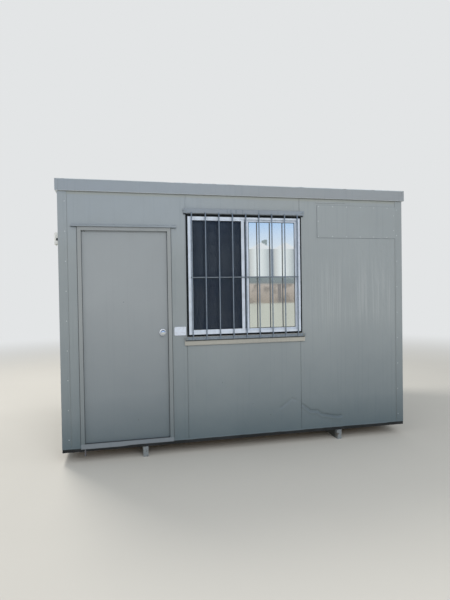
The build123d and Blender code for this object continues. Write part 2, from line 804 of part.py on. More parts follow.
# Glass: one pane in each sash, resting in the groove of its bottom rail
with BuildPart() as glass:
    for left, right, left_stile, right_stile, depth in sash_list:
        pane_left = left + left_stile - glass_lap + glass_play
        pane_right = right - right_stile + glass_lap - glass_play
        with BuildSketch(facade(depth + glass_inset)):
            with Locations((pane_left, sash_bottom + sash_rail - glass_lap)):
                pane_height = light_height + 2 * glass_lap - glass_play
                Rectangle(pane_right - pane_left, pane_height, align=(Align.MIN, Align.MIN))
        extrude(amount=-glass_thickness)
glass.part.label = "window_glass"
export_step(glass.part, "parts/window_glass.step")

# Flyscreen: framed mesh in the front track, over the sliding side
screen_left = window_left + window_web
screen_right = fixed_left - screen_gap
screen_depth = screen_front + track_clearance - window_proud
with BuildPart() as screen:
    with BuildSketch(facade(screen_depth)):
        with Locations((screen_left, sash_bottom)):
            Rectangle(screen_right - screen_left, sash_height, align=(Align.MIN, Align.MIN))
        with Locations((screen_left + screen_frame, sash_bottom + screen_frame)):
            mesh_width = screen_right - screen_left - 2 * screen_frame
            mesh_height = sash_height - 2 * screen_frame
            Rectangle(mesh_width, mesh_height, align=(Align.MIN, Align.MIN), mode=Mode.SUBTRACT)
    extrude(amount=-screen_thickness)
    with BuildSketch(facade(screen_depth + (screen_thickness - mesh_thickness) / 2)):
        with Locations((screen_left + screen_frame, sash_bottom + screen_frame)):
            Rectangle(mesh_width, mesh_height, align=(Align.MIN, Align.MIN))
    extrude(amount=-mesh_thickness)
screen.part.label = "flyscreen"
export_step(screen.part, "parts/flyscreen.step")

# Gasket: black foam that packs the gap between the window frame and the cut panels
with BuildPart() as gasket:
    with BuildSketch(facade(gasket_recess)):
        with Locations((window_centre_x, window_centre_z)):
            Rectangle(opening_width, opening_height)
            Rectangle(window_width, window_height, mode=Mode.SUBTRACT)
    extrude(amount=-gasket_depth)
gasket.part.label = "window_gasket"
export_step(gasket.part, "parts/window_gasket.step")

# Sill flashing: lies on the cut edge under the window and turns down over the wall
sill_flashing_section = [
    (-sill_flashing_reach - sill_flashing_kick, opening_bottom - sill_flashing_drop),
    (-sill_flashing_reach, opening_bottom - sill_flashing_drop + sill_flashing_kick),
    (-sill_flashing_reach, opening_bottom),
    (0, opening_bottom),
]
with BuildPart() as sill_flashing:
    sill_flashing_left = window_centre_x - opening_width / 2 - guard_lap - sill_flashing_margin
    with BuildSketch(Plane(origin=(sill_flashing_left, front_face, 0), x_dir=(0, 1, 0), z_dir=(1, 0, 0))):
        add(folded(sill_flashing_section, sheet))
    extrude(amount=2 * (window_centre_x - sill_flashing_left))
    with BuildSketch(Plane.XY.offset(opening_bottom)):
        with Locations((window_centre_x, front_face)):
            Rectangle(opening_width, gasket_recess, align=(Align.CENTER, Align.MIN))
    extrude(amount=sheet)
sill_flashing.part.label = "window_sill_flashing"
export_step(sill_flashing.part, "parts/window_sill_flashing.step")

# Security guard: steel angles over and under the window, upright bars welded across them
head_bottom = opening_top + guard_head_lift
head_top = head_bottom + guard_head_leg
foot_top = opening_bottom - guard_foot_drop
foot_bottom = foot_top - guard_foot_leg
flashing_face = sill_flashing_reach + sheet
bar_y = front_face - guard_reach - bar_diameter / 2 + bar_bite
cross_bar_y = bar_y + bar_diameter - bar_bite
cross_bar_z = window_centre_z - cross_bar_drop
guard_width = opening_width + 2 * guard_lap
guard_left = window_centre_x - guard_width / 2
first_bar_x = guard_left + bar_end_margin
bar_pitch = (guard_width - 2 * bar_end_margin) / (bar_count - 1)
with BuildPart() as guard:
    with BuildSketch(Plane(origin=(guard_left, front_face, 0), x_dir=(0, 1, 0), z_dir=(1, 0, 0))):
        Polygon(
            (-guard_reach, head_bottom),
            (-guard_reach, head_top),
            (0, head_top),
            (0, head_top - guard_angle_sheet),
            (guard_angle_sheet - guard_reach, head_top - guard_angle_sheet),
            (guard_angle_sheet - guard_reach, head_bottom),
            align=None,
        )
        Polygon(
            (-guard_reach, foot_bottom),
            (-guard_reach, foot_top),
            (guard_angle_sheet - guard_reach, foot_top),
            (guard_angle_sheet - guard_reach, foot_bottom + guard_angle_sheet),
            (-flashing_face, foot_bottom + guard_angle_sheet),
            (-flashing_face, foot_bottom),
            align=None,
        )
    extrude(amount=guard_width)
    with BuildSketch(Plane.XY.offset(foot_bottom)):
        for bar in range(bar_count):
            with Locations((first_bar_x + bar * bar_pitch, bar_y)):
                Circle(bar_diameter / 2)
    extrude(amount=head_bottom + bar_head_lap - foot_bottom)
    with BuildSketch(Plane.YZ.offset(first_bar_x - bar_diameter)):
        with Locations((cross_bar_y, cross_bar_z)):
            Circle(bar_diameter / 2)
    extrude(amount=bar_pitch * (bar_count - 1) + 2 * bar_diameter)
guard.part.label = "window_guard"
export_step(guard.part, "parts/window_guard.step")

# Blanking plate: flat sheet over the former opening, up to the corner flashing
with BuildPart() as blanking_plate:
    with BuildSketch(facade(0)):
        with Locations((right_face - corner_leg - trim_fit, fascia_bottom - blank_below_fascia)):
            Rectangle(blank_width, blank_height, align=(Align.MAX, Align.MAX))
    extrude(amount=sheet)
blanking_plate.part.label = "blanking_plate"
export_step(blanking_plate.part, "parts/blanking_plate.step")

# Power inlet on the left end wall: box with a lid, and a cable entry in its front side
inlet_front = front_face + corner_leg + trim_fit
inlet_centre_y = inlet_front + inlet_lid_lip + inlet_width / 2
inlet_top = fascia_bottom - inlet_below_fascia
inlet_centre_z = inlet_top - inlet_lid_lip - inlet_height / 2
with BuildPart() as inlet:
    with BuildSketch(Plane.YZ.offset(left_face)):
        with Locations((inlet_centre_y, inlet_centre_z)):
            RectangleRounded(inlet_width, inlet_height, inlet_corner)
    extrude(amount=inlet_lid - inlet_depth)
    with BuildSketch(Plane.YZ.offset(left_face + inlet_lid - inlet_depth)):
        with Locations((inlet_centre_y, inlet_centre_z)):
            lid_width = inlet_width + 2 * inlet_lid_lip
            lid_height = inlet_height + 2 * inlet_lid_lip
            RectangleRounded(lid_width, lid_height, inlet_corner + inlet_lid_lip)
    extrude(amount=-inlet_lid)
    chamfer(inlet.faces().sort_by(Axis.X)[0].edges(), length=inlet_lid_lip)
    with BuildSketch(Plane.XZ.offset(-(inlet_front + inlet_lid_lip))):
        with Locations((left_face - (inlet_depth - inlet_lid) / 2, inlet_top - inlet_hole_drop)):
            Circle(inlet_hole_radius)
    extrude(amount=-inlet_hole_depth, mode=Mode.SUBTRACT)
inlet.part.label = "power_inlet_box"
export_step(inlet.part, "parts/power_inlet_box.step")

# Power outlet beside the door: rounded plate, two sockets with three slots, two rockers
outlet_centre_x = -joint_half - outlet_from_joint
outlet_centre_z = wall_bottom + outlet_rise
with BuildPart() as outlet:
    with BuildSketch(facade(0)):
        with Locations((outlet_centre_x, outlet_centre_z)):
            RectangleRounded(outlet_width, outlet_height, outlet_corner)
    extrude(amount=outlet_thickness)
    chamfer(outlet.faces().sort_by(Axis.Y)[0].edges(), length=outlet_edge)
    for socket_side in (-1, 1):
        socket_x = outlet_centre_x + socket_side * socket_offset
        socket_z = outlet_centre_z - socket_drop
        rocker_z = outlet_centre_z + rocker_lift
        with BuildSketch(facade(-outlet_thickness)):
            with Locations((socket_x, socket_z)):
                Circle(socket_radius)
            with Locations((socket_x, rocker_z)):
                Rectangle(rocker_width, rocker_height)
        extrude(amount=socket_rise)
        with BuildSketch(facade(-outlet_thickness - socket_rise)):
            for turn, tilt in ((0, 0), (slot_spread, -slot_tilt), (-slot_spread, slot_tilt)):
                slot_at = Vector(slot_ring, 0).rotate(Axis.Z, earth_slot_angle + turn)
                with Locations(Location((socket_x + slot_at.X, socket_z + slot_at.Y, 0), (0, 0, tilt))):
                    Rectangle(slot_width, slot_length)
        extrude(amount=-slot_depth, mode=Mode.SUBTRACT)
        with BuildSketch(facade(-outlet_thickness)):
            with Locations((socket_x, rocker_z)):
                Rectangle(rocker_width, rocker_height / 2, align=(Align.CENTER, Align.MIN))
        extrude(amount=rocker_rise)
outlet.part.label = "power_outlet"
export_step(outlet.part, "parts/power_outlet.step")
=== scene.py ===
"""Dresses a portable site cabin: sandwich panels, a guarded sliding window, a door and a steel base."""

import logging
import math
from collections.abc import Iterable, Sequence
from dataclasses import dataclass
from enum import Enum

import bmesh
import bpy
from mathutils import Matrix, Vector, noise


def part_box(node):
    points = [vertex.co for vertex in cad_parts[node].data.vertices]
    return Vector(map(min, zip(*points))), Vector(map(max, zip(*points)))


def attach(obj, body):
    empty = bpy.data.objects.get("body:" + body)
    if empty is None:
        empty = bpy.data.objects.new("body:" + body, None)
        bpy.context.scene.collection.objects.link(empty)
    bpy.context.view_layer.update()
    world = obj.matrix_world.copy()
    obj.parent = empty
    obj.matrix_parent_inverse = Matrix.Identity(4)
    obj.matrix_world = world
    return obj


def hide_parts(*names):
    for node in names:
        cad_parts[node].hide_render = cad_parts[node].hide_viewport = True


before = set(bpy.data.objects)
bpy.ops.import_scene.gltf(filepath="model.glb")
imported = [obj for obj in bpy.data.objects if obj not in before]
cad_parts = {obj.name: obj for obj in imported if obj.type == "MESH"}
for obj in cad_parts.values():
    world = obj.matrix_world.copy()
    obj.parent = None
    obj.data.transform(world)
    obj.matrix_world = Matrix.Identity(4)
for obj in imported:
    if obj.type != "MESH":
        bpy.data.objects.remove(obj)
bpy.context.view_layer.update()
LOG = logging.getLogger("site_cabin")
WALL_FACE = -1.2
HALF_LENGTH = 1.8
HALF_DEPTH = 1.2
JOINTS = (-0.6, 0.6)
SEED = 7
Span = tuple[float, float]
Place = tuple[float, float, float]
Line = tuple[Span, ...]
Stops = tuple[tuple[float, str], ...]
Shape = bmesh.types.BMesh
Mesh = bpy.types.Mesh
Material = bpy.types.Material
Node = bpy.types.Node
Feed = bpy.types.Node | bpy.types.NodeSocket


class Body(Enum):
    """The bodies that a piece can ride on."""

    CABIN = "cabin"
    DOOR = "door"
    KNOB = "knob"


class Slot(Enum):
    """The record's material slots, by name."""

    WALL = "wall_paint"
    TRIM = "trim_paint"
    TIMBER = "bearer_timber"
    ALUMINIUM = "window_aluminium"
    GUARD = "guard_steel"
    GLASS = "glass"
    MESH = "insect_mesh"
    FOAM = "gasket_foam"
    CHROME = "chrome"
    ZINC = "zinc_steel"


class Side(Enum):
    """A face of the cabin: the way along it, the way up it and the way out of it."""

    FRONT = ((1, 0, 0), (0, 0, 1), (0, -1, 0))
    BACK = ((1, 0, 0), (0, 0, 1), (0, 1, 0))
    LEFT = ((0, 1, 0), (0, 0, 1), (-1, 0, 0))
    RIGHT = ((0, 1, 0), (0, 0, 1), (1, 0, 0))
    ROOF = ((1, 0, 0), (0, 1, 0), (0, 0, 1))

    def __init__(self, along: Place, up: Place, out: Place) -> None:
        """Takes up the three directions, and notes whether it is one of the two short walls."""
        self.along, self.up, self.out = Vector(along), Vector(up), Vector(out)
        self.is_end = along == (0, 1, 0)


class Head(Enum):
    """The head of a fixing."""

    DOME = "rivet"
    HEX = "screw"


class Fade(Enum):
    """How a value changes along a band."""

    STRAIGHT = "LINEAR"
    SOFT = "SMOOTHSTEP"


def linear(colour: str) -> tuple[float, float, float, float]:
    """Turns an sRGB hex colour into linear values.

    Args:
        colour: The colour as "#RRGGBB".

    Returns:
        Linear red, green, blue and an alpha of 1.
    """
    shares = [int(colour[start : start + 2], 16) / 255 for start in (1, 3, 5)]
    red, green, blue = (s / 12.92 if s <= 0.04045 else ((s + 0.055) / 1.055) ** 2.4 for s in shares)
    return red, green, blue, 1.0


class Sketch:
    """A node tree while it is put together."""

    def __init__(self, tree: bpy.types.NodeTree) -> None:
        """Takes up the tree that takes the nodes."""
        self.tree = tree

    def add(
        self,
        kind: str,
        settings: dict | None = None,
        links: dict | None = None,
        stops: Stops = (),
    ) -> Node:
        """Adds a node with its settings and links.

        Args:
            kind: The node's type name, for a shader node without the words ShaderNode.
            settings: Values by name: a small first letter is the node's own setting, anything else an input.
            links: What feeds an input, by its name or number: a socket, a node's first output or a list.
            stops: Places and hex colours of a colour ramp.

        Returns:
            The node.
        """
        node = self.tree.nodes.new(kind if "Node" in kind else f"ShaderNode{kind}")
        for key, value in (settings or {}).items():
            if isinstance(key, str) and key[0].islower():
                setattr(node, key, value)
            else:
                node.inputs[key].default_value = value
        for key, given in (links or {}).items():
            for feed in given if isinstance(given, list) else [given]:
                socket = feed.outputs[0] if isinstance(feed, Node) else feed
                self.tree.links.new(socket, node.inputs[key])
        for index, (place, colour) in enumerate(stops):
            ramp = node.color_ramp.elements
            stop = ramp[index] if index < 2 else ramp.new(place)
            stop.position, stop.color = place, linear(colour)
        return node

    def coats(self, base: str | Feed, *layers: tuple[Feed, str | Feed]) -> Feed:
        """Lays colours over a base, the last one on top.

        Args:
            base: Hex colour, node or socket at the bottom.
            *layers: Share of each layer, with its hex colour, node or socket.

        Returns:
            The socket with the finished colour.
        """
        under = base
        for share, over in layers:
            settings, links = {"data_type": "RGBA"}, {0: share}
            for place, colour in ((6, under), (7, over)):
                if isinstance(colour, str):
                    settings[place] = linear(colour)
                else:
                    links[place] = colour
            under = self.add("Mix", settings, links).outputs[2]
        return under


class Pattern(Sketch):
    """A material's node tree, in metres of the row frame."""

    def __init__(self, name: str) -> None:
        """Starts an empty material.

        Args:
            name: The material's name.
        """
        self.material = bpy.data.materials.new(name)
        self.material.use_nodes = True
        super().__init__(self.material.node_tree)
        self.tree.nodes.clear()
        self.place = self.add("TexCoord").outputs["Object"]
        self.axes = self.add("SeparateXYZ", links={0: self.place}).outputs

    def patches(
        self,
        size: float,
        most: float = 1.0,
        least: float = 0.0,
        low: float = 0.38,
        high: float = 0.66,
        stretch: Sequence[float] = (1, 1, 1),
        detail: float = 4.0,
    ) -> Node:
        """Makes soft-edged patches that run from a least to a largest value.

        Args:
            size: Width of a patch in metres.
            most: Value in the middle of a patch.
            least: Value between the patches.
            low: Noise level at which a patch begins.
            high: Noise level at which it is full.
            stretch: How many times longer a patch is along X, Y and Z.
            detail: Octaves of finer breakup.

        Returns:
            The node that gives the value.
        """
        scale = [1 / (size * times) for times in stretch]
        placed = self.add("Mapping", {"Scale": scale}, {0: self.place})
        cloud = self.add("TexNoise", {"Scale": 1.0, "Detail": detail}, {"Vector": placed})
        settings = {"interpolation_type": "SMOOTHSTEP", "From Min": low, "From Max": high}
        settings |= {"To Min": least, "To Max": most}
        return self.add("MapRange", settings, {0: cloud})

    def band(
        self, axis: int, zone: Span, first: float | Feed, last: float | Feed, fade: Fade = Fade.SOFT
    ) -> Node:
        """Makes a value that changes along an axis, with a slightly uneven edge.

        Args:
            axis: 0, 1 or 2 for X, Y or Z.
            zone: Where the change begins and ends, in metres.
            first: Value, or what gives it, at and below its beginning.
            last: Value, or what gives it, at and above its end.
            fade: How it changes between them.

        Returns:
            The node that gives the value.
        """
        start, end = zone
        ragged = self.patches(0.5, most=(end - start) * 0.05, low=0.25, high=0.75, detail=3.0)
        moved = self.add("Math", {"operation": "SUBTRACT"}, {0: self.axes[axis], 1: ragged})
        settings = {"interpolation_type": fade.value, "From Min": start, "From Max": end}
        links = {0: moved}
        for label, value in (("To Min", first), ("To Max", last)):
            (settings if isinstance(value, float) else links)[label] = value
        return self.add("MapRange", settings, links)

    def finish(
        self,
        settings: dict | None = None,
        links: dict | None = None,
        relief: Sequence[tuple[Feed, float]] = (),
    ) -> Material:
        """Ends the material in a Principled shader.

        Args:
            settings: The shader's fixed values.
            links: What feeds it.
            relief: What gives each height, with its depth in metres.

        Returns:
            The material.
        """
        links = dict(links or {})
        for height, depth in relief:
            joined = {"Height": height}
            if "Normal" in links:
                joined["Normal"] = links["Normal"]
            links["Normal"] = self.add("Bump", {"Distance": depth}, joined)
        self.add("OutputMaterial", links={0: self.add("BsdfPrincipled", settings, links)})
        return self.material


@dataclass(frozen=True)
class BakedPaint:
    """Polyester paint baked on steel sheet: satin, evenly dull, darker towards the ground with dust and
    painted shade.
    """

    name: str
    colour: str = "#979EA2"
    cloud: str = "#92999D"
    # The grime colour also paints the shade low on the walls.
    grime_and_shade: str = "#324B58"
    dust: str = "#8A8478"
    ground: float = 0.1
    film_and_shade_top: float = 1.3
    film_and_shade_share: float = 0.62
    splash_and_shade_top: float = 0.46
    splash_and_shade_share: float = 0.38
    mud_zone: Span = (0.12, 0.6)
    # The eave colour is painted light bounced up from the ground.
    eave: str = "#9A9D95"
    eave_light_share: float = 0.0
    eave_light_zone: Span = (2.53, 2.545)
    sky: str = "#969FA7"
    sky_share: float = 0.0
    sky_rise: Span = (1.9, 2.4)
    sky_reach: Span = (-0.9, 0.6)
    dull_share: float = 0.0
    dull_reach: Span = (-0.85, -0.35)
    dull_foot: Span = (0.6, 1.3)
    dull_head: Span = (1.5, 2.3)
    rubbed: str = "#B0B5B8"
    rubbed_share: float = 0.0
    rubbed_reach: Span = (0.68, 0.95)
    rubbed_foot: Span = (1.05, 1.45)
    rubbed_head: Span = (1.6, 2.05)
    fold: str = "#DDE3E8"
    fold_share: float = 0.0
    fold_zone: Span = (2.5671, 2.5686)
    streaks: float = 0.05
    roughness: float = 0.46

    def material(self) -> Material:
        """Builds the paint.

        Returns:
            The material.
        """
        look = Pattern(self.name)
        clouds = look.patches(0.7, most=0.7, low=0.3, high=0.7, detail=2.0)
        # Rain draws dirt down in 25 mm wide streaks that are about a metre long.
        streaks = look.patches(0.025, most=self.streaks, low=0.55, stretch=(1, 1, 40))
        # Painted shade, with a film of fine dirt, darkens the paint evenly from chest height to the ground.
        film = look.band(2, (self.ground, self.film_and_shade_top), self.film_and_shade_share, 0.0, Fade.STRAIGHT)
        # More painted shade, with the dirt of rain splashing off the ground, darkens the lowest half metre.
        splash = look.band(2, (self.ground, self.splash_and_shade_top), self.splash_and_shade_share, 0.0, Fade.STRAIGHT)
        # 4 mm specks of dried mud sit low on the wall.
        low_down = look.band(2, self.mud_zone, 0.4, 0.02)
        specks = look.patches(0.004, low=0.62, high=0.7, detail=2.0)
        mud = look.add("Math", {"operation": "MULTIPLY"}, {0: low_down, 1: specks})
        # Painted light: the 30 mm under the fascia is drawn warmer and less blue, as if lit by light bounced
        # up from the ground.
        eave_light = look.band(2, self.eave_light_zone, 0.0, self.eave_light_share)
        # Painted light: the upper left of the front is drawn a touch bluer, as if lit by the open sky.
        sky = look.band(2, self.sky_rise, 0.0, look.band(0, self.sky_reach, self.sky_share, 0.0))
        # The wall beside the doorway is drawn darker at chest height.
        dull = look.band(2, self.dull_head, look.band(0, self.dull_reach, self.dull_share, 0.0), 0.0)
        dull = look.band(2, self.dull_foot, 0.0, dull)
        # Wind and rain have rubbed the right-hand panel bright in 20 mm wide upright stripes.
        upright = (1, 1, 60)
        stripes = look.patches(0.02, most=self.rubbed_share, low=0.5, high=0.58, stretch=upright, detail=1.0)
        rubbed = look.band(2, self.rubbed_head, look.band(0, self.rubbed_reach, 0.0, stripes), 0.0)
        rubbed = look.band(2, self.rubbed_foot, 0.0, rubbed)
        # Painted light: the fold under the fascia is drawn pale, as if lit by light from the ground.
        fold = look.band(2, self.fold_zone, self.fold_share, 0.0)
        # Lighter layers: the paint's clouds and rubbed stripes, the painted sky light and the painted light
        # on the fold.
        clean = ((clouds, self.cloud), (sky, self.sky), (rubbed, self.rubbed), (fold, self.fold))
        darkening_layers = ((dull, self.grime_and_shade), (streaks, self.grime_and_shade), (film, self.grime_and_shade), (splash, self.grime_and_shade))
        paint = look.coats(self.colour, *clean, *darkening_layers, (mud, self.dust), (eave_light, self.eave))
        # The sprayed coat's orange peel is 1.5 mm across and hardly felt.
        peel = look.patches(0.0015, low=0.3, high=0.7, detail=1.0)
        rough = look.patches(0.12, most=self.roughness + 0.12, least=self.roughness - 0.05)
        return look.finish(links={"Base Color": paint, "Roughness": rough}, relief=[(peel, 0.00004)])


@dataclass(frozen=True)
class PowderCoat:
    """Powder coat on aluminium or steel: smooth, a little glossier than the walls, with dust in corners."""

    name: str
    colour: str = "#CFDAEA"
    dust: str = "#9AA3AE"
    share: float = 0.26
    roughness: float = 0.38

    def material(self) -> Material:
        """Builds the coat.

        Returns:
            The material.
        """
        look = Pattern(self.name)
        blots = look.patches(0.09, most=self.share, low=0.45)
        runs = look.patches(0.012, most=self.share, low=0.56, stretch=(1, 1, 9))
        coat = look.coats(self.colour, (blots, self.dust), (runs, self.dust))
        rough = look.patches(0.03, most=self.roughness + 0.12, least=self.roughness - 0.04)
        # The melted powder levels out to a 1 mm ripple.
        ripple = look.patches(0.001, low=0.3, high=0.7, detail=1.0)
        return look.finish(links={"Base Color": coat, "Roughness": rough}, relief=[(ripple, 0.00003)])


@dataclass(frozen=True)
class WeatheredZinc:
    """Galvanised steel gone dull outdoors: blue-grey, with crystals, and painted shade on the backs of the
    bars.
    """

    name: str
    light: str = "#9AA5B4"
    dark: str = "#7B8796"
    crystal: float = 0.009
    stain: str = "#6A5546"
    stain_share: float = 0.12
    back_shade: str = "#14181E"
    back_shade_from: float = -1.2318
    roughness: float = 0.5

    def material(self) -> Material:
        """Builds the zinc.

        Returns:
            The material.
        """
        look = Pattern(self.name)
        # Each crystal of the zinc is about 9 mm across and has its own grey.
        crystals = look.add("TexVoronoi", {"Scale": 1 / self.crystal}, {"Vector": look.place})
        grey = look.add("RGBToBW", links={0: crystals.outputs["Color"]})
        stains = look.patches(0.03, most=self.stain_share, low=0.5)
        # Painted shade: the backs of the bars, which face the window, are drawn near black.
        back_shade = look.band(1, (self.back_shade_from, self.back_shade_from + 0.003), 0.0, 0.9)
        metal = look.coats(self.light, (grey, self.dark), (stains, self.stain), (back_shade, self.back_shade))
        rough = look.patches(0.02, most=self.roughness + 0.15, least=self.roughness - 0.08)
        links = {"Base Color": metal, "Roughness": rough}
        return look.finish({"Metallic": 0.55}, links, relief=[(look.patches(0.003), 0.00008)])


@dataclass(frozen=True)
class BlackSteel:
    """Black enamel brushed on hot-rolled steel: uneven, dusty on top and rusty where it is chipped."""

    name: str
    colour: str = "#0B0D12"
    dust: str = "#2C2E32"
    rust: str = "#3A2116"
    roughness: float = 0.6

    def material(self) -> Material:
        """Builds the enamel.

        Returns:
            The material.
        """
        look = Pattern(self.name)
        chips = look.patches(0.02, low=0.66, high=0.7, detail=6.0)
        dusty = look.patches(0.14, most=0.4, low=0.45)
        coat = look.coats(self.colour, (dusty, self.dust), (chips, self.rust))
        rough = look.patches(0.02, most=0.9, least=self.roughness, low=0.66, high=0.7, detail=6.0)
        # Mill scale under the coat is rough at 6 mm and chips have a step.
        links = {"Base Color": coat, "Roughness": rough}
        return look.finish(links=links, relief=[(look.patches(0.006), 0.0002), (chips, -0.0003)])


@dataclass(frozen=True)
class SawnPine:
    """Sawn pine with the last of a pale paint: raised grain along the beam, dark checks in its ends, painted
    shade behind.
    """

    name: str
    # The pale paint is drawn darker than it is, as painted shade.
    paint: str = "#7F868B"
    wood: str = "#6F6B65"
    dark: str = "#42403E"
    shade: str = "#171615"
    shaded: Span = (-1.19, -1.13)

    def material(self) -> Material:
        """Builds the wood.

        Returns:
            The material.
        """
        look = Pattern(self.name)
        # Growth rings come 5 mm apart across the beam and run its whole length.
        placed = look.add("Mapping", {"Scale": [1, 0.05, 1]}, {0: look.place})
        settings = {"wave_type": "RINGS", "rings_direction": "Y", "Scale": 32.0}
        settings |= {"Distortion": 3.0, "Detail": 3.0}
        rings = look.add("TexWave", settings, {"Vector": placed}).outputs["Fac"]
        worn = look.patches(0.02, low=0.33, high=0.5, stretch=(1, 8, 1), detail=6.0)
        # Behind its front end the beam is painted near black as shade.
        under = look.band(1, self.shaded, 0.0, 0.9)
        colour = look.coats(self.wood, (rings, self.dark), (worn, self.paint), (under, self.shade))
        relief = [(rings, 0.0006), (worn, 0.0003)]
        return look.finish({"Roughness": 0.85}, {"Base Color": colour}, relief=relief)


@dataclass(frozen=True)
class Plywood:
    """Rotary-cut plywood with a worn clear coat: wide flame grain, with joints between the sheets."""

    name: str
    light: str = "#A08260"
    dark: str = "#6F5439"
    scuff: str = "#7E7466"
    gap: str = "#2C231A"
    sheet: float = 1.2
    gap_half: float = 0.0015

    def material(self) -> Material:
        """Builds the floor sheets.

        Returns:
            The material.
        """
        look = Pattern(self.name)
        # The peeled veneer's flames are wide along the floor and 7 times narrower across it.
        placed = look.add("Mapping", {"Scale": [1.2, 9, 1]}, {0: look.place})
        settings = {"bands_direction": "Y", "Scale": 1.4, "Distortion": 7.0}
        settings |= {"Detail": 3.0, "Detail Scale": 1.5}
        flame = look.add("TexWave", settings, {"Vector": placed}).outputs["Fac"]
        # The sheets meet every 1.2 m along the floor in a dark gap.
        half = self.sheet / 2
        joint = look.axes[0]
        for operation, value in (("ADD", half), ("PINGPONG", half), ("LESS_THAN", self.gap_half)):
            joint = look.add("Math", {"operation": operation, 1: value}, {0: joint})
        scuffs = look.patches(0.3, most=0.5)
        colour = look.coats(self.light, (flame, self.dark), (scuffs, self.scuff), (joint, self.gap))
        rough = look.patches(0.2, most=0.75, least=0.45)
        return look.finish(links={"Base Color": colour, "Roughness": rough}, relief=[(flame, 0.0001)])


@dataclass(frozen=True)
class FloatGlass:
    """Float glass in front of a dim room: mirrors its surroundings, with a light film of dust."""

    name: str
    colour: str = "#F4F8FB"
    film: str = "#8E9297"
    mirror: float = 0.86
    alpha: float = 0.95
    dust: float = 0.05

    def material(self) -> Material:
        """Builds the glass.

        Returns:
            The material.
        """
        look = Pattern(self.name)
        # Rain leaves a film of dust in blots a quarter of a metre wide, which also dull the shine a little.
        film = look.patches(0.25, most=self.dust, low=0.4, high=0.75)
        colour = look.coats(self.colour, (film, self.film))
        rough = look.patches(0.25, most=0.04, least=0.01, low=0.4, high=0.75)
        # A pane is never dead flat: it bows by a fraction of a millimetre over half a metre.
        bow = look.patches(0.6, low=0.2, high=0.8, detail=0.0)
        settings = {"Metallic": self.mirror, "Alpha": self.alpha}
        return look.finish(settings, {"Base Color": colour, "Roughness": rough}, relief=[(bow, 0.0002)])


@dataclass(frozen=True)
class Rubber:
    """Rubber, foam or sealant: dull, soft-looking and slightly pitted."""

    name: str
    colour: str = "#0B0D10"
    dust: str = "#1E2226"
    blot: float = 0.05
    pit: float = 0.0025
    roughness: float = 0.85

    def material(self) -> Material:
        """Builds the rubber.

        Returns:
            The material.
        """
        look = Pattern(self.name)
        colour = look.coats(self.colour, (look.patches(self.blot, most=0.6), self.dust))
        pits = look.patches(self.pit, low=0.35, high=0.6, detail=2.0)
        return look.finish({"Roughness": self.roughness}, {"Base Color": colour}, relief=[(pits, 0.0002)])


@dataclass(frozen=True)
class PolishedMetal:
    """Plated steel: chrome on the knob, bright zinc on the hinges, each with rub marks."""

    name: str
    colour: str
    tarnish: str
    roughness: float
    metallic: float = 1.0
    marks: float = 0.004

    def material(self) -> Material:
        """Builds the plating.

        Returns:
            The material.
        """
        look = Pattern(self.name)
        colour = look.coats(self.colour, (look.patches(0.012, most=0.4, low=0.45), self.tarnish))
        rough = look.patches(self.marks, most=self.roughness + 0.15, least=self.roughness, low=0.4)
        return look.finish({"Metallic": self.metallic}, {"Base Color": colour, "Roughness": rough})


@dataclass(frozen=True)
class MouldedPlastic:
    """Moulded white plastic: fine spark-eroded grain and a trace of handling dirt."""

    name: str
    colour: str = "#D3DCEB"
    dirt: str = "#A9ADB0"
    roughness: float = 0.34

    def material(self) -> Material:
        """Builds the plastic.

        Returns:
            The material.
        """
        look = Pattern(self.name)
        colour = look.coats(self.colour, (look.patches(0.018, most=0.3, low=0.5), self.dirt))
        # The mould's grain is 0.5 mm, drawn at 0.8 mm so that it shows.
        grain = look.patches(0.0008, low=0.3, high=0.7, detail=1.0)
        return look.finish({"Roughness": self.roughness}, {"Base Color": colour}, relief=[(grain, 0.00003)])


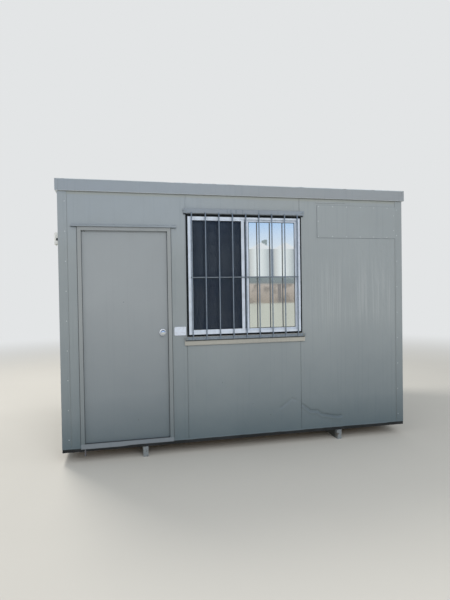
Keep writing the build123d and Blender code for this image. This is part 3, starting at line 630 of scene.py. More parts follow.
class Finishes:
    """Every material of the cabin, made once."""

    def __init__(self) -> None:
        """Builds the materials."""
        clean = {"film_and_shade_share": 0.0, "splash_and_shade_share": 0.0}
        leaf = {"film_and_shade_top": 1.46, "film_and_shade_share": 0.5, "splash_and_shade_top": 0.6, "splash_and_shade_share": 0.44, "streaks": 0.02}
        weather_and_light = {"eave_light_share": 0.5, "sky_share": 1.0, "dull_share": 0.11, "rubbed_share": 0.3}
        self.wall = BakedPaint("baked_paint_wall", **weather_and_light).material()
        self.door = BakedPaint("baked_paint_door", "#999FA4", "#949A9F", **leaf).material()
        self.roof = BakedPaint("baked_paint_roof", **clean).material()
        shaded = {"sky_share": 0.8, "dull_share": 0.12}
        self.flashing = BakedPaint("baked_paint_flashing", "#959CA0", "#8F969A", **shaded).material()
        # The fascia takes the painted sky light, and the painted light on its fold.
        capping = {"sky": "#919AA4", "sky_share": 1.0, "fold_share": 1.0, "roughness": 0.42, **clean}
        self.trim = BakedPaint("baked_paint_fascia", "#93999F", "#8C9298", **capping).material()
        # Painted highlight: the fascia's rolled top edge is drawn pale, as if it caught the sun.
        self.hem = BakedPaint("baked_paint_hem_highlight", "#C9D4DC", "#A5B0B8", streaks=0.0, **clean).material()
        self.frame = BakedPaint("baked_paint_door_frame", "#959A9D", "#909598", film_and_shade_share=0.5).material()
        self.threshold = BakedPaint("baked_paint_threshold", "#79818A", "#727A83", **clean).material()
        self.lip = BakedPaint("baked_paint_lip", "#979EA3", "#8D9499", splash_and_shade_share=0.22).material()
        # Painted shade: the guard's head angle has the wall's paint, drawn darker and bluer.
        self.head = BakedPaint("baked_paint_guard_shaded", "#89929D", "#7C8590", streaks=0.3, **clean).material()
        self.sill = BakedPaint("baked_paint_cream", "#AEADA6", "#A3A29D", **clean).material()
        self.drip = BakedPaint("baked_paint_drip", "#919AA3", "#89929B", **clean).material()
        self.bars = WeatheredZinc("weathered_zinc_shaded_back").material()
        self.angles = WeatheredZinc("weathered_zinc", "#97A0AC", "#7E8893", back_shade_from=-1.0).material()
        self.tab = WeatheredZinc("weathered_zinc_tab", "#75747A", "#5D5C61", back_shade_from=-1.0).material()
        self.black = BlackSteel("black_enamel").material()
        self.pine = SawnPine("sawn_pine").material()
        self.floor = Plywood("plywood").material()
        self.white = PowderCoat("powder_coated_aluminium").material()
        self.fixed_pane = FloatGlass("float_glass").material()
        behind_mesh = {"colour": "#7C8794", "mirror": 0.12, "alpha": 0.85}
        self.screened_pane = FloatGlass("float_glass_behind_mesh", **behind_mesh).material()
        self.wire = Rubber("coated_mesh_wire", "#13253D", "#333C49", blot=0.3, roughness=0.6).material()
        self.foam = Rubber("closed_cell_foam").material()
        self.bead = Rubber("glazing_rubber", "#191C20", "#2E3236", roughness=0.6).material()
        # Grey sealant, also used for painted shade lines at the flashing edges and fascia ends.
        self.sealant = Rubber("weathered_sealant", "#858988", "#717574", roughness=0.7).material()
        # Dark sealant in the joints and scabs, also used for painted shade lines along frames, angles and
        # seals.
        self.shadow = Rubber("dark_sealant_and_painted_shade", "#4A5054", "#3C4245", roughness=0.8).material()
        self.chrome = PolishedMetal("chrome_plate", "#F2F4FF", "#C4C9DA", 0.12).material()
        self.rose = PolishedMetal("satin_chrome_plate", "#F4F8FF", "#D6DEF0", 0.5, metallic=0.1).material()
        self.zinc = PolishedMetal("bright_zinc_plate", "#B6B3A4", "#8F8A78", 0.32).material()
        self.plastic = MouldedPlastic("moulded_plastic").material()
        # Painted light: the inlet box is drawn whiter than the outlet's plastic, as if in the sun.
        self.box = MouldedPlastic("moulded_plastic_sunlit", "#F3F4F2", "#C9CBC8").material()


def clamped(value: float) -> float:
    """Keeps a value from 0 to 1."""
    return max(0.0, min(1.0, value))


def bell(away: float, width: float) -> float:
    """Falls off softly from 1, at no distance, to a third at a given width."""
    return math.exp(-((away / width) ** 2))


def wander(*place: float) -> float:
    """Smooth noise from -1 to 1 at a place, given by two or three numbers."""
    return noise.noise(Vector((*place, 0.0)[:3]))


def divide(start: float, end: float, parts: int) -> list[float]:
    """Divides a span evenly, with both its ends."""
    return [start + (end - start) * part / parts for part in range(parts + 1)]


def circle(radius: float, sides: int) -> list[Span]:
    """Places the corners of a round section about its middle."""
    turns = [2 * math.pi * side / sides for side in range(sides)]
    return [(radius * math.cos(turn), radius * math.sin(turn)) for turn in turns]


def skin_rings(shape: Shape, rings: Sequence[Sequence[bmesh.types.BMVert]], capped: bool = True) -> None:
    """Joins rings of points into a tube.

    Args:
        shape: The mesh that takes the faces.
        rings: Rings with the same number of points.
        capped: Whether the ends are closed.
    """
    for near, far in zip(rings, rings[1:]):
        for index, point in enumerate(near):
            after = (index + 1) % len(near)
            shape.faces.new((point, near[after], far[after], far[index]))
    if capped:
        shape.faces.new(rings[0])
        shape.faces.new(rings[-1])


def add_loft(shape: Shape, sections: Iterable[Iterable[Sequence[float]]]) -> None:
    """Joins sections, given as points, into a closed bar."""
    skin_rings(shape, [[shape.verts.new(point) for point in section] for section in sections])


def add_run(shape: Shape, section: Sequence[Vector], travel: Vector, steps: int = 1) -> None:
    """Draws a closed section out along a straight line, in one or more lengths."""
    add_loft(shape, [[point + travel * step / steps for point in section] for step in range(steps + 1)])


def add_strip(shape: Shape, section: Iterable[Span], start: float, end: float, steps: int = 1) -> None:
    """Draws a closed section of Y and Z points out along X, from its start to its end."""
    add_run(shape, [Vector((start, y, z)) for y, z in section], Vector((end - start, 0, 0)), steps)


def add_block(shape: Shape, low: Sequence[float], high: Sequence[float]) -> None:
    """Adds a square-edged block.

    Args:
        shape: The mesh that takes the block.
        low: Its corner with the lowest values.
        high: Its corner with the highest.
    """
    (x0, y0, z0), (x1, y1, z1) = low, high
    add_strip(shape, ((y0, z0), (y1, z0), (y1, z1), (y0, z1)), x0, x1)


def add_rod(shape: Shape, start: Vector, end: Vector, radius: float, steps: int = 1, sides: int = 16) -> None:
    """Adds a straight round rod with a small chamfer at both ends.

    Args:
        shape: The mesh that takes the rod.
        start: Middle of its near end.
        end: Middle of its far end.
        radius: Its radius.
        steps: Number of lengths that it is divided into.
        sides: Number of faces round it.
    """
    turn = (end - start).to_track_quat("Z", "Y")
    chamfer = radius * 0.2
    reach = (end - start).length
    places = [0.0, chamfer, *[reach * step / steps for step in range(1, steps)], reach - chamfer, reach]
    sections = []
    for place in places:
        size = radius - chamfer if place in (0.0, reach) else radius
        sections.append([start + turn @ Vector((a, b, place)) for a, b in circle(size, sides)])
    add_loft(shape, sections)


def add_stud(shape: Shape, place: Span, back: float, front: float, radius: float, sides: int = 12) -> None:
    """Adds a short rod that faces the front, at an X and a Z, between the Y of its back and its front."""
    (x, z) = place
    add_rod(shape, Vector((x, back, z)), Vector((x, front, z)), radius, sides=sides)


def add_surround(shape: Shape, low: Span, high: Span, width: float, front: float, back: float) -> None:
    """Adds a rectangular ring in the plane of the front wall.

    Args:
        shape: The mesh that takes the ring.
        low: X and Z of the outer lower left corner.
        high: X and Z of the outer upper right corner.
        width: Width of the ring.
        front: Y of its front face.
        back: Y of its back face.
    """
    rings = []
    for inset, depth in ((0, front), (width, front), (width, back), (0, back)):
        left, right = low[0] + inset, high[0] - inset
        bottom, top = low[1] + inset, high[1] - inset
        corners = ((left, bottom), (right, bottom), (right, top), (left, top))
        rings.append([shape.verts.new((x, depth, z)) for x, z in corners])
    skin_rings(shape, [*rings, rings[0]], capped=False)


def add_turned(shape: Shape, profile: Iterable[Span], centre: Span, steps: int = 56) -> None:
    """Turns a profile of depths and radii round an axis along Y, at an X and a Z."""
    x, z = centre
    add_loft(shape, [[(x + a, y, z + b) for a, b in circle(radius, steps)] for y, radius in profile])


def slice_across(shape: Shape, start: float, end: float, parts: int) -> None:
    """Divides a shape evenly along X, so that it can be bent.

    Args:
        shape: The shape.
        start: X of its left end.
        end: X of its right end.
        parts: Number of lengths.
    """
    for x in divide(start, end, parts)[1:-1]:
        everything = [*shape.verts, *shape.edges, *shape.faces]
        bmesh.ops.bisect_plane(shape, geom=everything, dist=1e-6, plane_co=(x, 0, 0), plane_no=(1, 0, 0))


def ease(shape: Shape, width: float, segments: int = 2) -> None:
    """Bevels every edge of a shape."""
    bmesh.ops.bevel(shape, geom=shape.edges[:], offset=width, segments=segments, affect="EDGES")


def settle(shape: Shape) -> Mesh:
    """Merges a shape's doubles and turns its faces outwards.

    Args:
        shape: The shape, which is used up.

    Returns:
        The shape as a mesh.
    """
    bmesh.ops.remove_doubles(shape, verts=shape.verts, dist=1e-6)
    bmesh.ops.recalc_face_normals(shape, faces=shape.faces)
    mesh = bpy.data.meshes.new("shape")
    shape.to_mesh(mesh)
    shape.free()
    return mesh


def coat(mesh: Mesh, finish: Material) -> None:
    """Gives a whole mesh one material.

    Args:
        mesh: The mesh.
        finish: The material.
    """
    mesh.materials.clear()
    mesh.materials.append(finish)
    mesh.polygons.foreach_set("material_index", [0] * len(mesh.polygons))


def dress(
    name: str,
    shape: Shape | Mesh,
    finish: Material,
    stands_for: Sequence[str] = (),
    crease_angle: float = 32.0,
    body: Body = Body.CABIN,
) -> None:
    """Makes a finished piece and puts it on its body.

    Args:
        name: The piece's name.
        shape: Its form in place: a shape that still has to settle, or a finished mesh.
        finish: Its material.
        stands_for: The CAD nodes that it replaces.
        crease_angle: Edges sharper than this, in degrees, stay sharp.
        body: The body that it rides on.
    """
    mesh = settle(shape) if isinstance(shape, Shape) else shape
    mesh.name = name
    coat(mesh, finish)
    mesh.polygons.foreach_set("use_smooth", [True] * len(mesh.polygons))
    mesh.set_sharp_from_angle(angle=math.radians(crease_angle))
    made = bpy.data.objects.new(name, mesh)
    bpy.context.scene.collection.objects.link(made)
    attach(made, body.value)
    if stands_for:
        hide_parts(*stands_for)
    LOG.info("%s: %d faces on %s", name, len(mesh.polygons), body.value)


def paint_nodes(finish: Material, *nodes: str) -> None:
    """Gives CAD nodes that stay in view their material.

    Args:
        finish: The material.
        *nodes: The nodes' names.
    """
    for node in nodes:
        coat(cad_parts[node].data, finish)
        LOG.info("%s: finished as %s", node, finish.name)


def copy_of(node: str) -> Shape:
    """Copies a CAD node's form, with its loose triangles merged.

    Args:
        node: The node's name.

    Returns:
        The copy.
    """
    shape = bmesh.new()
    shape.from_mesh(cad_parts[node].data)
    bmesh.ops.remove_doubles(shape, verts=shape.verts, dist=1e-5)
    return shape


@dataclass
class Assembly:
    """A sub-assembly of the cabin, with the materials that its pieces are dressed in."""

    finishes: Finishes


class Recipe(Sketch):
    """A Geometry Nodes tree with named inputs, run on a mesh and kept as a plain mesh."""

    def __init__(self, name: str, inputs: dict[str, str]) -> None:
        """Starts the tree.

        Args:
            name: The tree's name.
            inputs: Socket type of each named input.
        """
        super().__init__(bpy.data.node_groups.new(name, "GeometryNodeTree"))
        face = self.tree.interface
        face.new_socket("Geometry", in_out="INPUT", socket_type="NodeSocketGeometry")
        self.labels = {
            label: face.new_socket(label, in_out="INPUT", socket_type="NodeSocket" + kind).identifier
            for label, kind in {**inputs, "Material": "Material"}.items()
        }
        face.new_socket("Geometry", in_out="OUTPUT", socket_type="NodeSocketGeometry")
        self.given = self.add("NodeGroupInput").outputs

    def close(self, geometry: Node) -> None:
        """Ends the tree in Realize Instances and Set Material.

        Args:
            geometry: The node that gives the copies.
        """
        real = self.add("GeometryNodeRealizeInstances", links={0: geometry})
        dressed = self.add("GeometryNodeSetMaterial", links={0: real, "Material": self.given["Material"]})
        self.add("NodeGroupOutput", links={0: dressed})

    def grow(self, seed: Mesh, values: dict[str, object]) -> Mesh:
        """Runs the tree.

        Args:
            seed: The mesh that the tree starts from.
            values: Value of each named input.

        Returns:
            The result as a plain mesh.
        """
        carrier = bpy.data.objects.new("carrier", seed)
        bpy.context.scene.collection.objects.link(carrier)
        modifier = carrier.modifiers.new("recipe", "NODES")
        modifier.node_group = self.tree
        for label, value in values.items():
            modifier[self.labels[label]] = value
        evaluated = carrier.evaluated_get(bpy.context.evaluated_depsgraph_get())
        mesh = bpy.data.meshes.new_from_object(evaluated)
        carrier.modifiers.remove(modifier)
        bpy.data.objects.remove(carrier)
        return mesh


def path_mesh(runs: Iterable[Sequence[Vector]]) -> Mesh:
    """Makes a mesh of broken lines.

    Args:
        runs: Points of each line; a line of one point is a lone point.

    Returns:
        The mesh, with an edge between each two points of a line.
    """
    points, edges = [], []
    for run in runs:
        first = len(points)
        points.extend(tuple(point) for point in run)
        edges.extend((first + step, first + step + 1) for step in range(len(run) - 1))
    mesh = bpy.data.meshes.new("path")
    mesh.from_pydata(points, edges, [])
    return mesh


class FixingRow(Recipe):
    """Heads of rivets or screws at an even spacing along lines."""

    def __init__(self, head: Head) -> None:
        """Builds the tree.

        Args:
            head: The kind of head.
        """
        super().__init__(f"{head.value}_row", {"Pitch": "Float", "Radius": "Float", "Facing": "Vector"})
        radius = self.given["Radius"]
        line = self.add("GeometryNodeMeshToCurve", links={0: self.given["Geometry"]})
        links = {0: line, "Length": self.given["Pitch"]}
        spots = self.add("GeometryNodeResampleCurve", {"mode": "LENGTH"}, links)
        if head is Head.DOME:
            # A rivet's dome is a ball pressed to 45 % of its height.
            ball = self.add("GeometryNodeMeshUVSphere", {"Segments": 10, "Rings": 6}, {"Radius": radius})
            form = self.add("GeometryNodeTransform", {"Scale": (1, 1, 0.45)}, {0: ball})
        else:
            # A roofing screw has a hexagon two thirds as wide as the washer that it presses down.
            inner = self.add("Math", {"operation": "MULTIPLY", 1: 0.66}, {0: radius})
            layers = []
            for corners, depth, size in ((14, 0.003, radius), (6, 0.009, inner)):
                settings = {"Vertices": corners, "Depth": depth}
                layers.append(self.add("GeometryNodeMeshCylinder", settings, {"Radius": size}))
            form = self.add("GeometryNodeJoinGeometry", links={0: layers})
        links = {"Vector": self.given["Facing"]}
        facing = self.add("FunctionNodeAlignRotationToVector", {"axis": "Z"}, links)
        links = {0: spots, "Instance": form, "Rotation": facing}
        self.close(self.add("GeometryNodeInstanceOnPoints", links=links))


class BarRow(Recipe):
    """A bar repeated along X, each leaning by a trace of its own."""

    def __init__(self) -> None:
        """Builds the tree."""
        inputs = {"Bars": "Int", "Pitch": "Float", "First": "Vector", "Lean": "Vector", "Seed": "Int"}
        super().__init__("bar_row", inputs)
        given = self.given
        step = self.add("CombineXYZ", links={"X": given["Pitch"]})
        links = {"Count": given["Bars"], "Start Location": given["First"], "Offset": step}
        spots = self.add("GeometryNodeMeshLine", {"mode": "OFFSET"}, links)
        back = self.add("VectorMath", {"operation": "SCALE", "Scale": -1.0}, {0: given["Lean"]})
        links = {0: back, 1: given["Lean"], "Seed": given["Seed"]}
        lean = self.add("FunctionNodeRandomValue", {"data_type": "FLOAT_VECTOR"}, links)
        links = {0: spots, "Instance": given["Geometry"], "Rotation": lean}
        self.close(self.add("GeometryNodeInstanceOnPoints", links=links))


class WeldBeads(Recipe):
    """Lumps of weld metal on given points, each of its own size."""

    def __init__(self) -> None:
        """Builds the tree."""
        super().__init__("weld_beads", {"Size": "Float", "Seed": "Int"})
        given = self.given
        lump = self.add("GeometryNodeMeshIcoSphere", {"Subdivisions": 2}, {"Radius": given["Size"]})
        settings = {"data_type": "FLOAT_VECTOR", 0: (0.7, 0.7, 0.5), 1: (1.3, 1.2, 0.9)}
        sizes = self.add("FunctionNodeRandomValue", settings, {"Seed": given["Seed"]})
        links = {0: given["Geometry"], "Instance": lump, "Scale": sizes}
        self.close(self.add("GeometryNodeInstanceOnPoints", links=links))


class MeshWeave(Recipe):
    """Insect mesh: two sets of straight wires, one just in front of the other."""

    def __init__(self) -> None:
        """Builds the tree."""
        inputs = {"Width": "Float", "Height": "Float", "Pitch": "Float", "Wire": "Float", "Corner": "Vector"}
        super().__init__("mesh_weave", inputs)
        pitch, thick = self.given["Pitch"], self.given["Wire"]
        corner = self.add("SeparateXYZ", links={0: self.given["Corner"]}).outputs
        sets = []
        upright = ("Width", "Height", "X", "Z", corner["Y"], 0.0)
        behind = self.add("Math", {"operation": "ADD"}, {0: corner["Y"], 1: thick})
        level = ("Height", "Width", "Z", "X", behind, math.pi / 2)
        for across, along, step_axis, wire_axis, depth, turn in (upright, level):
            links = {0: self.given[across], 1: pitch}
            count = self.add("Math", {"operation": "DIVIDE"}, links)
            half = self.add("Math", {"operation": "DIVIDE", 1: 2.0}, {0: self.given[along]})
            middle = self.add("Math", {"operation": "ADD"}, {0: corner[wire_axis], 1: half})
            base = {step_axis: corner[step_axis], "Y": depth, wire_axis: middle}
            start = self.add("CombineXYZ", links=base)
            step = self.add("CombineXYZ", links={step_axis: pitch})
            links = {"Count": count, "Start Location": start, "Offset": step}
            spots = self.add("GeometryNodeMeshLine", {"mode": "OFFSET"}, links)
            links = {"Radius": thick, "Depth": self.given[along]}
            wire = self.add("GeometryNodeMeshCylinder", {"Vertices": 4}, links)
            settings, links = {"Rotation": (0.0, turn, 0.0)}, {0: spots, "Instance": wire}
            sets.append(self.add("GeometryNodeInstanceOnPoints", settings, links))
        self.close(self.add("GeometryNodeJoinGeometry", links={0: sets}))


@dataclass(frozen=True)
class Crease:
    """A knock that has left a valley in a skin along a broken line, in a shallow dish."""

    line: Line
    depth: float
    width: float = 0.013
    dish: float = 0.003
    dish_width: float = 0.07
    ridge: float = 0.0
    ridge_drop: float = 0.02
    ridge_width: float = 0.014

    def inward(self, u: float, v: float) -> float:
        """How far the skin is pushed in at a point.

        Args:
            u: Place along the wall.
            v: Height.

        Returns:
            Depth in metres, less than nothing on the ridge that the knock has raised under the valley.
        """
        near = self.reach(Vector((u, v)))
        above = self.reach(Vector((u, v + self.ridge_drop)))
        shares = ((self.depth, near, self.width), (self.dish, near, self.dish_width))
        shares += ((-self.ridge, above, self.ridge_width),)
        return sum(depth * bell(away, width) for depth, away, width in shares)

    def reach(self, spot: Vector) -> float:
        """Measures how far a point is from the broken line.

        Args:
            spot: Place along the wall, and height.

        Returns:
            The distance in metres.
        """
        away = []
        for start, end in zip(map(Vector, self.line), map(Vector, self.line[1:])):
            run = end - start
            share = clamped((spot - start).dot(run) / run.length_squared)
            away.append((spot - start - run * share).length)
        return min(away)


@dataclass
class PanelSkins(Assembly):
    """The insulated panels of one face: ribbed outer sheets that join in a groove, and plain inner sheets."""

    side: Side
    nodes: tuple[str, ...]
    rib_pitch: float = 0.1
    rib_depth: float = 0.0005
    rib_half: float = 0.0045
    groove_depth: float = 0.0035
    groove_half: float = 0.004
    tongue: float = 0.013
    buckle: float = 0.0009
    coarse_step: float = 0.034
    row_step: float = 0.06
    fine_step: float = 0.006
    fine_margin: float = 0.03
    least_step: float = 0.0004
    creases: tuple[Crease, ...] = ()
    opening: tuple[Vector, Vector] | None = None
    finish: Material | None = None

    @property
    def joints(self) -> tuple[float, ...]:
        """The places of the grooves along this face."""
        return (0.0,) if self.side.is_end else JOINTS

    def at_joint(self, place: float) -> float:
        """Moves a place that is within a tongue's length of a joint to the joint."""
        near = [joint for joint in self.joints if abs(place - joint) < self.tongue]
        return near[0] if near else place

    def rib_show(self, u: float, v: float) -> float:
        """How clearly a rib stands: the front's come and go, and are clearest halfway up its right panel.

        Args:
            u: Place along the face.
            v: Place up it.

        Returns:
            A share of the ribs' depth.
        """
        if self.side is not Side.FRONT:
            return 1.0
        clear = 3.0 * bell(v - 1.6, 0.4) if u > JOINTS[1] else 0.0
        return (0.4 + clear) * (0.8 + 0.9 * wander(round(u / self.rib_pitch) * 7.7, v * 1.1))

    def inward(self, u: float, v: float) -> float:
        """How far the outer sheet lies inside its flat face at a point.

        Args:
            u: Place along the face.
            v: Place up it.

        Returns:
            Depth of the ribs, the buckles, the grooves and the creases there, in metres.
        """
        rib = abs((u / self.rib_pitch + 0.5) % 1.0 - 0.5) * self.rib_pitch
        depth = self.rib_depth * self.rib_show(u, v) * max(0.0, 1 - rib / self.rib_half)
        depth += self.buckle * (0.5 + 0.5 * wander(u * 2.1, v * 1.3, sum(self.side.out) * 9.1))
        joint = min(abs(u - place) for place in self.joints)
        depth += self.groove_depth * max(0.0, 1 - joint / self.groove_half)
        return depth + sum(crease.inward(u, v) for crease in self.creases)

    def stations(self, start: float, end: float, extra: Iterable[float], step: float) -> list[float]:
        """Divides a span, with given places among the divisions.

        Args:
            start: Where the span begins.
            end: Where it ends.
            extra: Places that have to be among the divisions.
            step: Widest division.

        Returns:
            The places in order.
        """
        fixed = sorted({round(p, 5) for p in (start, end, *extra) if start - 1e-6 <= p <= end + 1e-6})
        places = [fixed[0]]
        for place in fixed[1:]:
            gap = place - places[-1]
            if gap >= self.least_step or place >= end:
                places += divide(places[-1], place, max(1, math.ceil(gap / step)))[1:]
        return places

    def marks(self, axis: int, way: Vector) -> list[float]:
        """Lists where a panel has to be divided for creases and the window.

        Args:
            axis: 0 for places along the face, 1 for places up it.
            way: The direction of that axis.

        Returns:
            The places, close together across each crease.
        """
        found = [corner.dot(way) for corner in self.opening or ()]
        for crease in self.creases:
            places = [point[axis] for point in crease.line]
            near, far = min(places) - self.fine_margin, max(places) + self.fine_margin
            found += divide(near, far, math.ceil((far - near) / self.fine_step))
        return found

    def columns(self, start: float, end: float) -> list[float]:
        """Divides a panel along the face.

        Args:
            start: Where it begins.
            end: Where it ends.

        Returns:
            The places, close together at ribs and creases.
        """
        extra = self.marks(0, self.side.along)
        for rib in range(math.floor(start / self.rib_pitch), math.ceil(end / self.rib_pitch) + 1):
            extra += [rib * self.rib_pitch + shift for shift in (-self.rib_half, 0.0, self.rib_half)]
        return self.stations(start, end, extra, self.coarse_step)

    def kept(self, u: float, v: float) -> bool:
        """Whether the skin is there, and not cut away for the window.

        Args:
            u: Place along the face.
            v: Place up it.

        Returns:
            True where there is skin.
        """
        if not self.opening:
            return True
        (left, right), (foot, head) = (
            [corner.dot(way) for corner in self.opening] for way in (self.side.along, self.side.up)
        )
        return not (left < u < right and foot < v < head)

    def build(self, node: str) -> Shape:
        """Builds one panel.

        Args:
            node: The panel's CAD node.

        Returns:
            Its closed shape, without its hidden tongue.
        """
        low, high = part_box(node)
        along, up, out = self.side.along, self.side.up, self.side.out
        columns = self.columns(self.at_joint(low.dot(along)), self.at_joint(high.dot(along)))
        rows = self.stations(low.dot(up), high.dot(up), self.marks(1, up), self.row_step)
        inner, outer = sorted((low.dot(out), high.dot(out)))
        cells = {
            (i, j)
            for i in range(len(columns) - 1)
            for j in range(len(rows) - 1)
            if self.kept((columns[i] + columns[i + 1]) / 2, (rows[j] + rows[j + 1]) / 2)
        }
        shape, skin, after = bmesh.new(), {}, {}
        for i, j in sorted({(i + a, j + b) for i, j in cells for a in (0, 1) for b in (0, 1)}):
            u, v = columns[i], rows[j]
            skin[i, j] = shape.verts.new(along * u + up * v + out * (outer - self.inward(u, v)))
        for i, j in sorted(cells):
            ring = ((i, j), (i + 1, j), (i + 1, j + 1), (i, j + 1))
            shape.faces.new([skin[spot] for spot in ring])
            beyond = ((i, j - 1), (i + 1, j), (i, j + 1), (i - 1, j))
            edges = zip(ring, (*ring[1:], ring[0]), beyond)
            after |= {near: far for near, far, cell in edges if cell not in cells}
        # The edge of the sheet, followed from corner to corner, is joined to the plain inner sheet.
        loop = [min(after)]
        while after[loop[-1]] != loop[0]:
            loop.append(after[loop[-1]])
        back = [shape.verts.new(along * columns[i] + up * rows[j] + out * inner) for i, j in loop]
        skin_rings(shape, [[skin[spot] for spot in loop], back], capped=False)
        shape.faces.new(back)
        return shape

    def fit(self) -> None:
        """Builds and dresses every panel of the face."""
        finish = self.finish or self.finishes.wall
        for node in self.nodes:
            dress(f"{node}_skin", self.build(node), finish, [node], crease_angle=40.0)


@dataclass
class Shell(Assembly):
    """Walls and roof: panels, the lip along the front wall's foot, joint seals and the fascia."""

    wall_foot: float = 0.132
    lip_top: float = 0.141
    lip_sheet: float = 0.0012
    lip_flare: float = 0.0022
    lip_wave: float = 0.004
    lip_knock: float = 0.0025
    lip_step: float = 0.03
    seal_depth: float = 0.0027
    seal_thick: float = 0.001
    seal_half: float = 0.0011
    bare_under_window: float = 0.085
    bare_over_window: float = 0.05
    flashing_edges: Span = (-1.7182, 1.7168)
    edge_line: float = 0.0014
    fascia_bottom: float = 2.567
    fascia_top: float = 2.677
    fascia_parts: int = 90
    fascia_wave: float = 0.0012
    dip_at: float = -0.736
    dip: float = 0.004
    bump_at: float = 0.613
    bump: float = 0.0045
    hem_y: float = -1.2196
    hem_radius: float = 0.0038
    hem_step: float = 0.025
    hem_taper: float = 0.012
    hem_runs: Line = (
        (-1.815, -1.765), (-1.735, -0.752), (-0.69, -0.625), (-0.59, -0.47), (-0.435, -0.33),
        (-0.29, -0.17), (-0.1, 1.108), (1.122, 1.44), (1.453, 1.815),
    )
    bead_end: float = 1.79
    bead_drops: Line = ((0.0, 0.0), (0.0, 0.003), (0.003, 0.0022), (0.0092, 0.0))
    wrap_edge: float = 1.7915
    wrap_half: float = 0.0009
    wrap_faces: Span = (-1.2212, -1.219)
    old_bead: Line = ((0.78, 2.522), (0.86, 2.519), (0.95, 2.5195), (1.03, 2.528), (1.125, 2.527))
    old_bead_y: float = -1.1995
    old_bead_radius: float = 0.0016
    scuffs: Line = ((-0.251, 0.678), (0.069, 0.443), (0.259, 0.316), (1.265, 1.369))
    scuff_radius: float = 0.0032
    low_crease: Crease = Crease(
        (
            (0.618, 0.391), (0.704, 0.323), (0.782, 0.318), (0.835, 0.278), (0.933, 0.258),
            (1.013, 0.243), (1.05, 0.247),
        ),
        depth=0.0115,
        ridge=0.007,
    )
    high_crease: Crease = Crease(
        ((0.372, 0.381), (0.443, 0.429), (0.5, 0.466), (0.536, 0.451)),
        depth=0.005,
        dish=0.002,
    )

    def panels(self) -> None:
        """Builds the wall and roof panels."""
        fronts = ("left_of_door", "over_door", "right_of_door", "under_window", "over_window", "right")
        nodes = tuple(f"front_panel_{place}" for place in fronts)
        cut = {"creases": (self.low_crease, self.high_crease), "opening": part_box("window_gasket")}
        PanelSkins(self.finishes, Side.FRONT, nodes, rib_pitch=0.05, **cut).fit()
        thirds = ("left", "middle", "right")
        PanelSkins(self.finishes, Side.BACK, tuple(f"back_panel_{third}" for third in thirds)).fit()
        for side in (Side.LEFT, Side.RIGHT):
            nodes = tuple(f"{side.name.lower()}_end_panel_{half}" for half in ("back", "front"))
            PanelSkins(self.finishes, side, nodes).fit()
        nodes = tuple(f"roof_panel_{third}" for third in thirds)
        sheet = {"rib_depth": 0.0014, "row_step": 0.12, "finish": self.finishes.roof}
        PanelSkins(self.finishes, Side.ROOF, nodes, **sheet).fit()

    def lip_edge(self, x: float) -> float:
        """Height of the lip's lower edge, which sags and is knocked about."""
        sag = self.lip_wave * wander(x * 3.1, 4.0)
        return self.wall_foot - 0.0005 + sag + self.lip_knock * wander(x * 13, 8.0)

    def lip(self) -> None:
        """Builds the folded lip along the front wall's foot, left and right of the door."""
        shape = bmesh.new()
        frame_low, frame_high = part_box("door_frame")
        face = WALL_FACE - self.lip_sheet
        for start, end in ((-HALF_LENGTH, frame_low.x), (frame_high.x, HALF_LENGTH)):
            sections = []
            for x in divide(start, end, math.ceil((end - start) / self.lip_step)):
                edge = self.lip_edge(x)
                tip = face - self.lip_flare * (0.6 + 0.5 * wander(x * 4.3, 1.0))
                section = (
                    (WALL_FACE, self.lip_top),
                    (face, self.lip_top - 0.0005),
                    (face, edge + 0.009),
                    (tip, edge),
                    (tip + self.lip_sheet, edge - 0.0003),
                    (WALL_FACE, edge + 0.008),
                )
                sections.append([(x, y, z) for y, z in section])
            add_loft(shape, sections)
        dress("front_wall_lip", shape, self.finishes.lip)

    def joint_seals(self) -> None:
        """Builds the dark seals in the upright joints, and thin strips as painted shade beside the front
        corner flashings.
        """
        shape = bmesh.new()
        window_low, window_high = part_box("window_gasket")
        foot, head = self.wall_foot + 0.002, self.fascia_bottom + 0.02
        under, over = window_low.z - self.bare_under_window, window_high.z + self.bare_over_window
        runs = [(side, 0.0, foot, head) for side in (Side.LEFT, Side.RIGHT)]
        runs += [(Side.BACK, joint, foot, head) for joint in JOINTS]
        runs += [(Side.FRONT, joint, foot, under) for joint in JOINTS]
        runs += [(Side.FRONT, JOINTS[1], over, head)]
        for side, place, bottom, top in runs:
            face = (HALF_LENGTH if side.is_end else HALF_DEPTH) - self.seal_depth
            middle, half = side.along * place + side.out * face, side.along * self.seal_half
            near = middle - half - side.out * self.seal_thick + side.up * bottom
            add_block(shape, near, middle + half + side.up * top)
        dress("panel_joint_seals", shape, self.finishes.shadow)
        lines = bmesh.new()
        for edge in self.flashing_edges:
            low = (edge, WALL_FACE - 0.0013, foot)
            add_block(lines, low, (edge + self.edge_line, WALL_FACE + 0.001, self.fascia_bottom))
        dress("flashing_edge_shade_lines", lines, self.finishes.sealant)

    def top_lift(self, x: float) -> float:
        """How far the fascia's top edge is bent up or down at a place along it."""
        lift = self.fascia_wave * wander(x * 5.0, 2.0) - self.dip * bell(x - self.dip_at, 0.02)
        return lift + self.bump * bell(x - self.bump_at, 0.03)

    def fascia(self) -> None:
        """Builds the front fascia: the CAD sheet, gently waved, with a dip and a bump in its top edge."""
        shape = copy_of("fascia_front")
        low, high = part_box("fascia_front")
        slice_across(shape, low.x, high.x, self.fascia_parts)
        for vert in shape.verts:
            x, y, z = vert.co
            # The corners, and the back of the sheet, stay where the CAD has them.
            share = clamped((high.x - 0.04 - abs(x)) / 0.15) * clamped((WALL_FACE - y) / 0.02)
            wave = wander(x * 2.7, z * 6.0, 3.0) + 0.5 * wander(x * 9.0, z * 4.0, 5.0)
            vert.co.y -= self.fascia_wave * wave * share
            if z > self.fascia_top - 0.01:
                vert.co.z += self.top_lift(x) * share
        dress("fascia_front_sheet", shape, self.finishes.trim, ["fascia_front"])

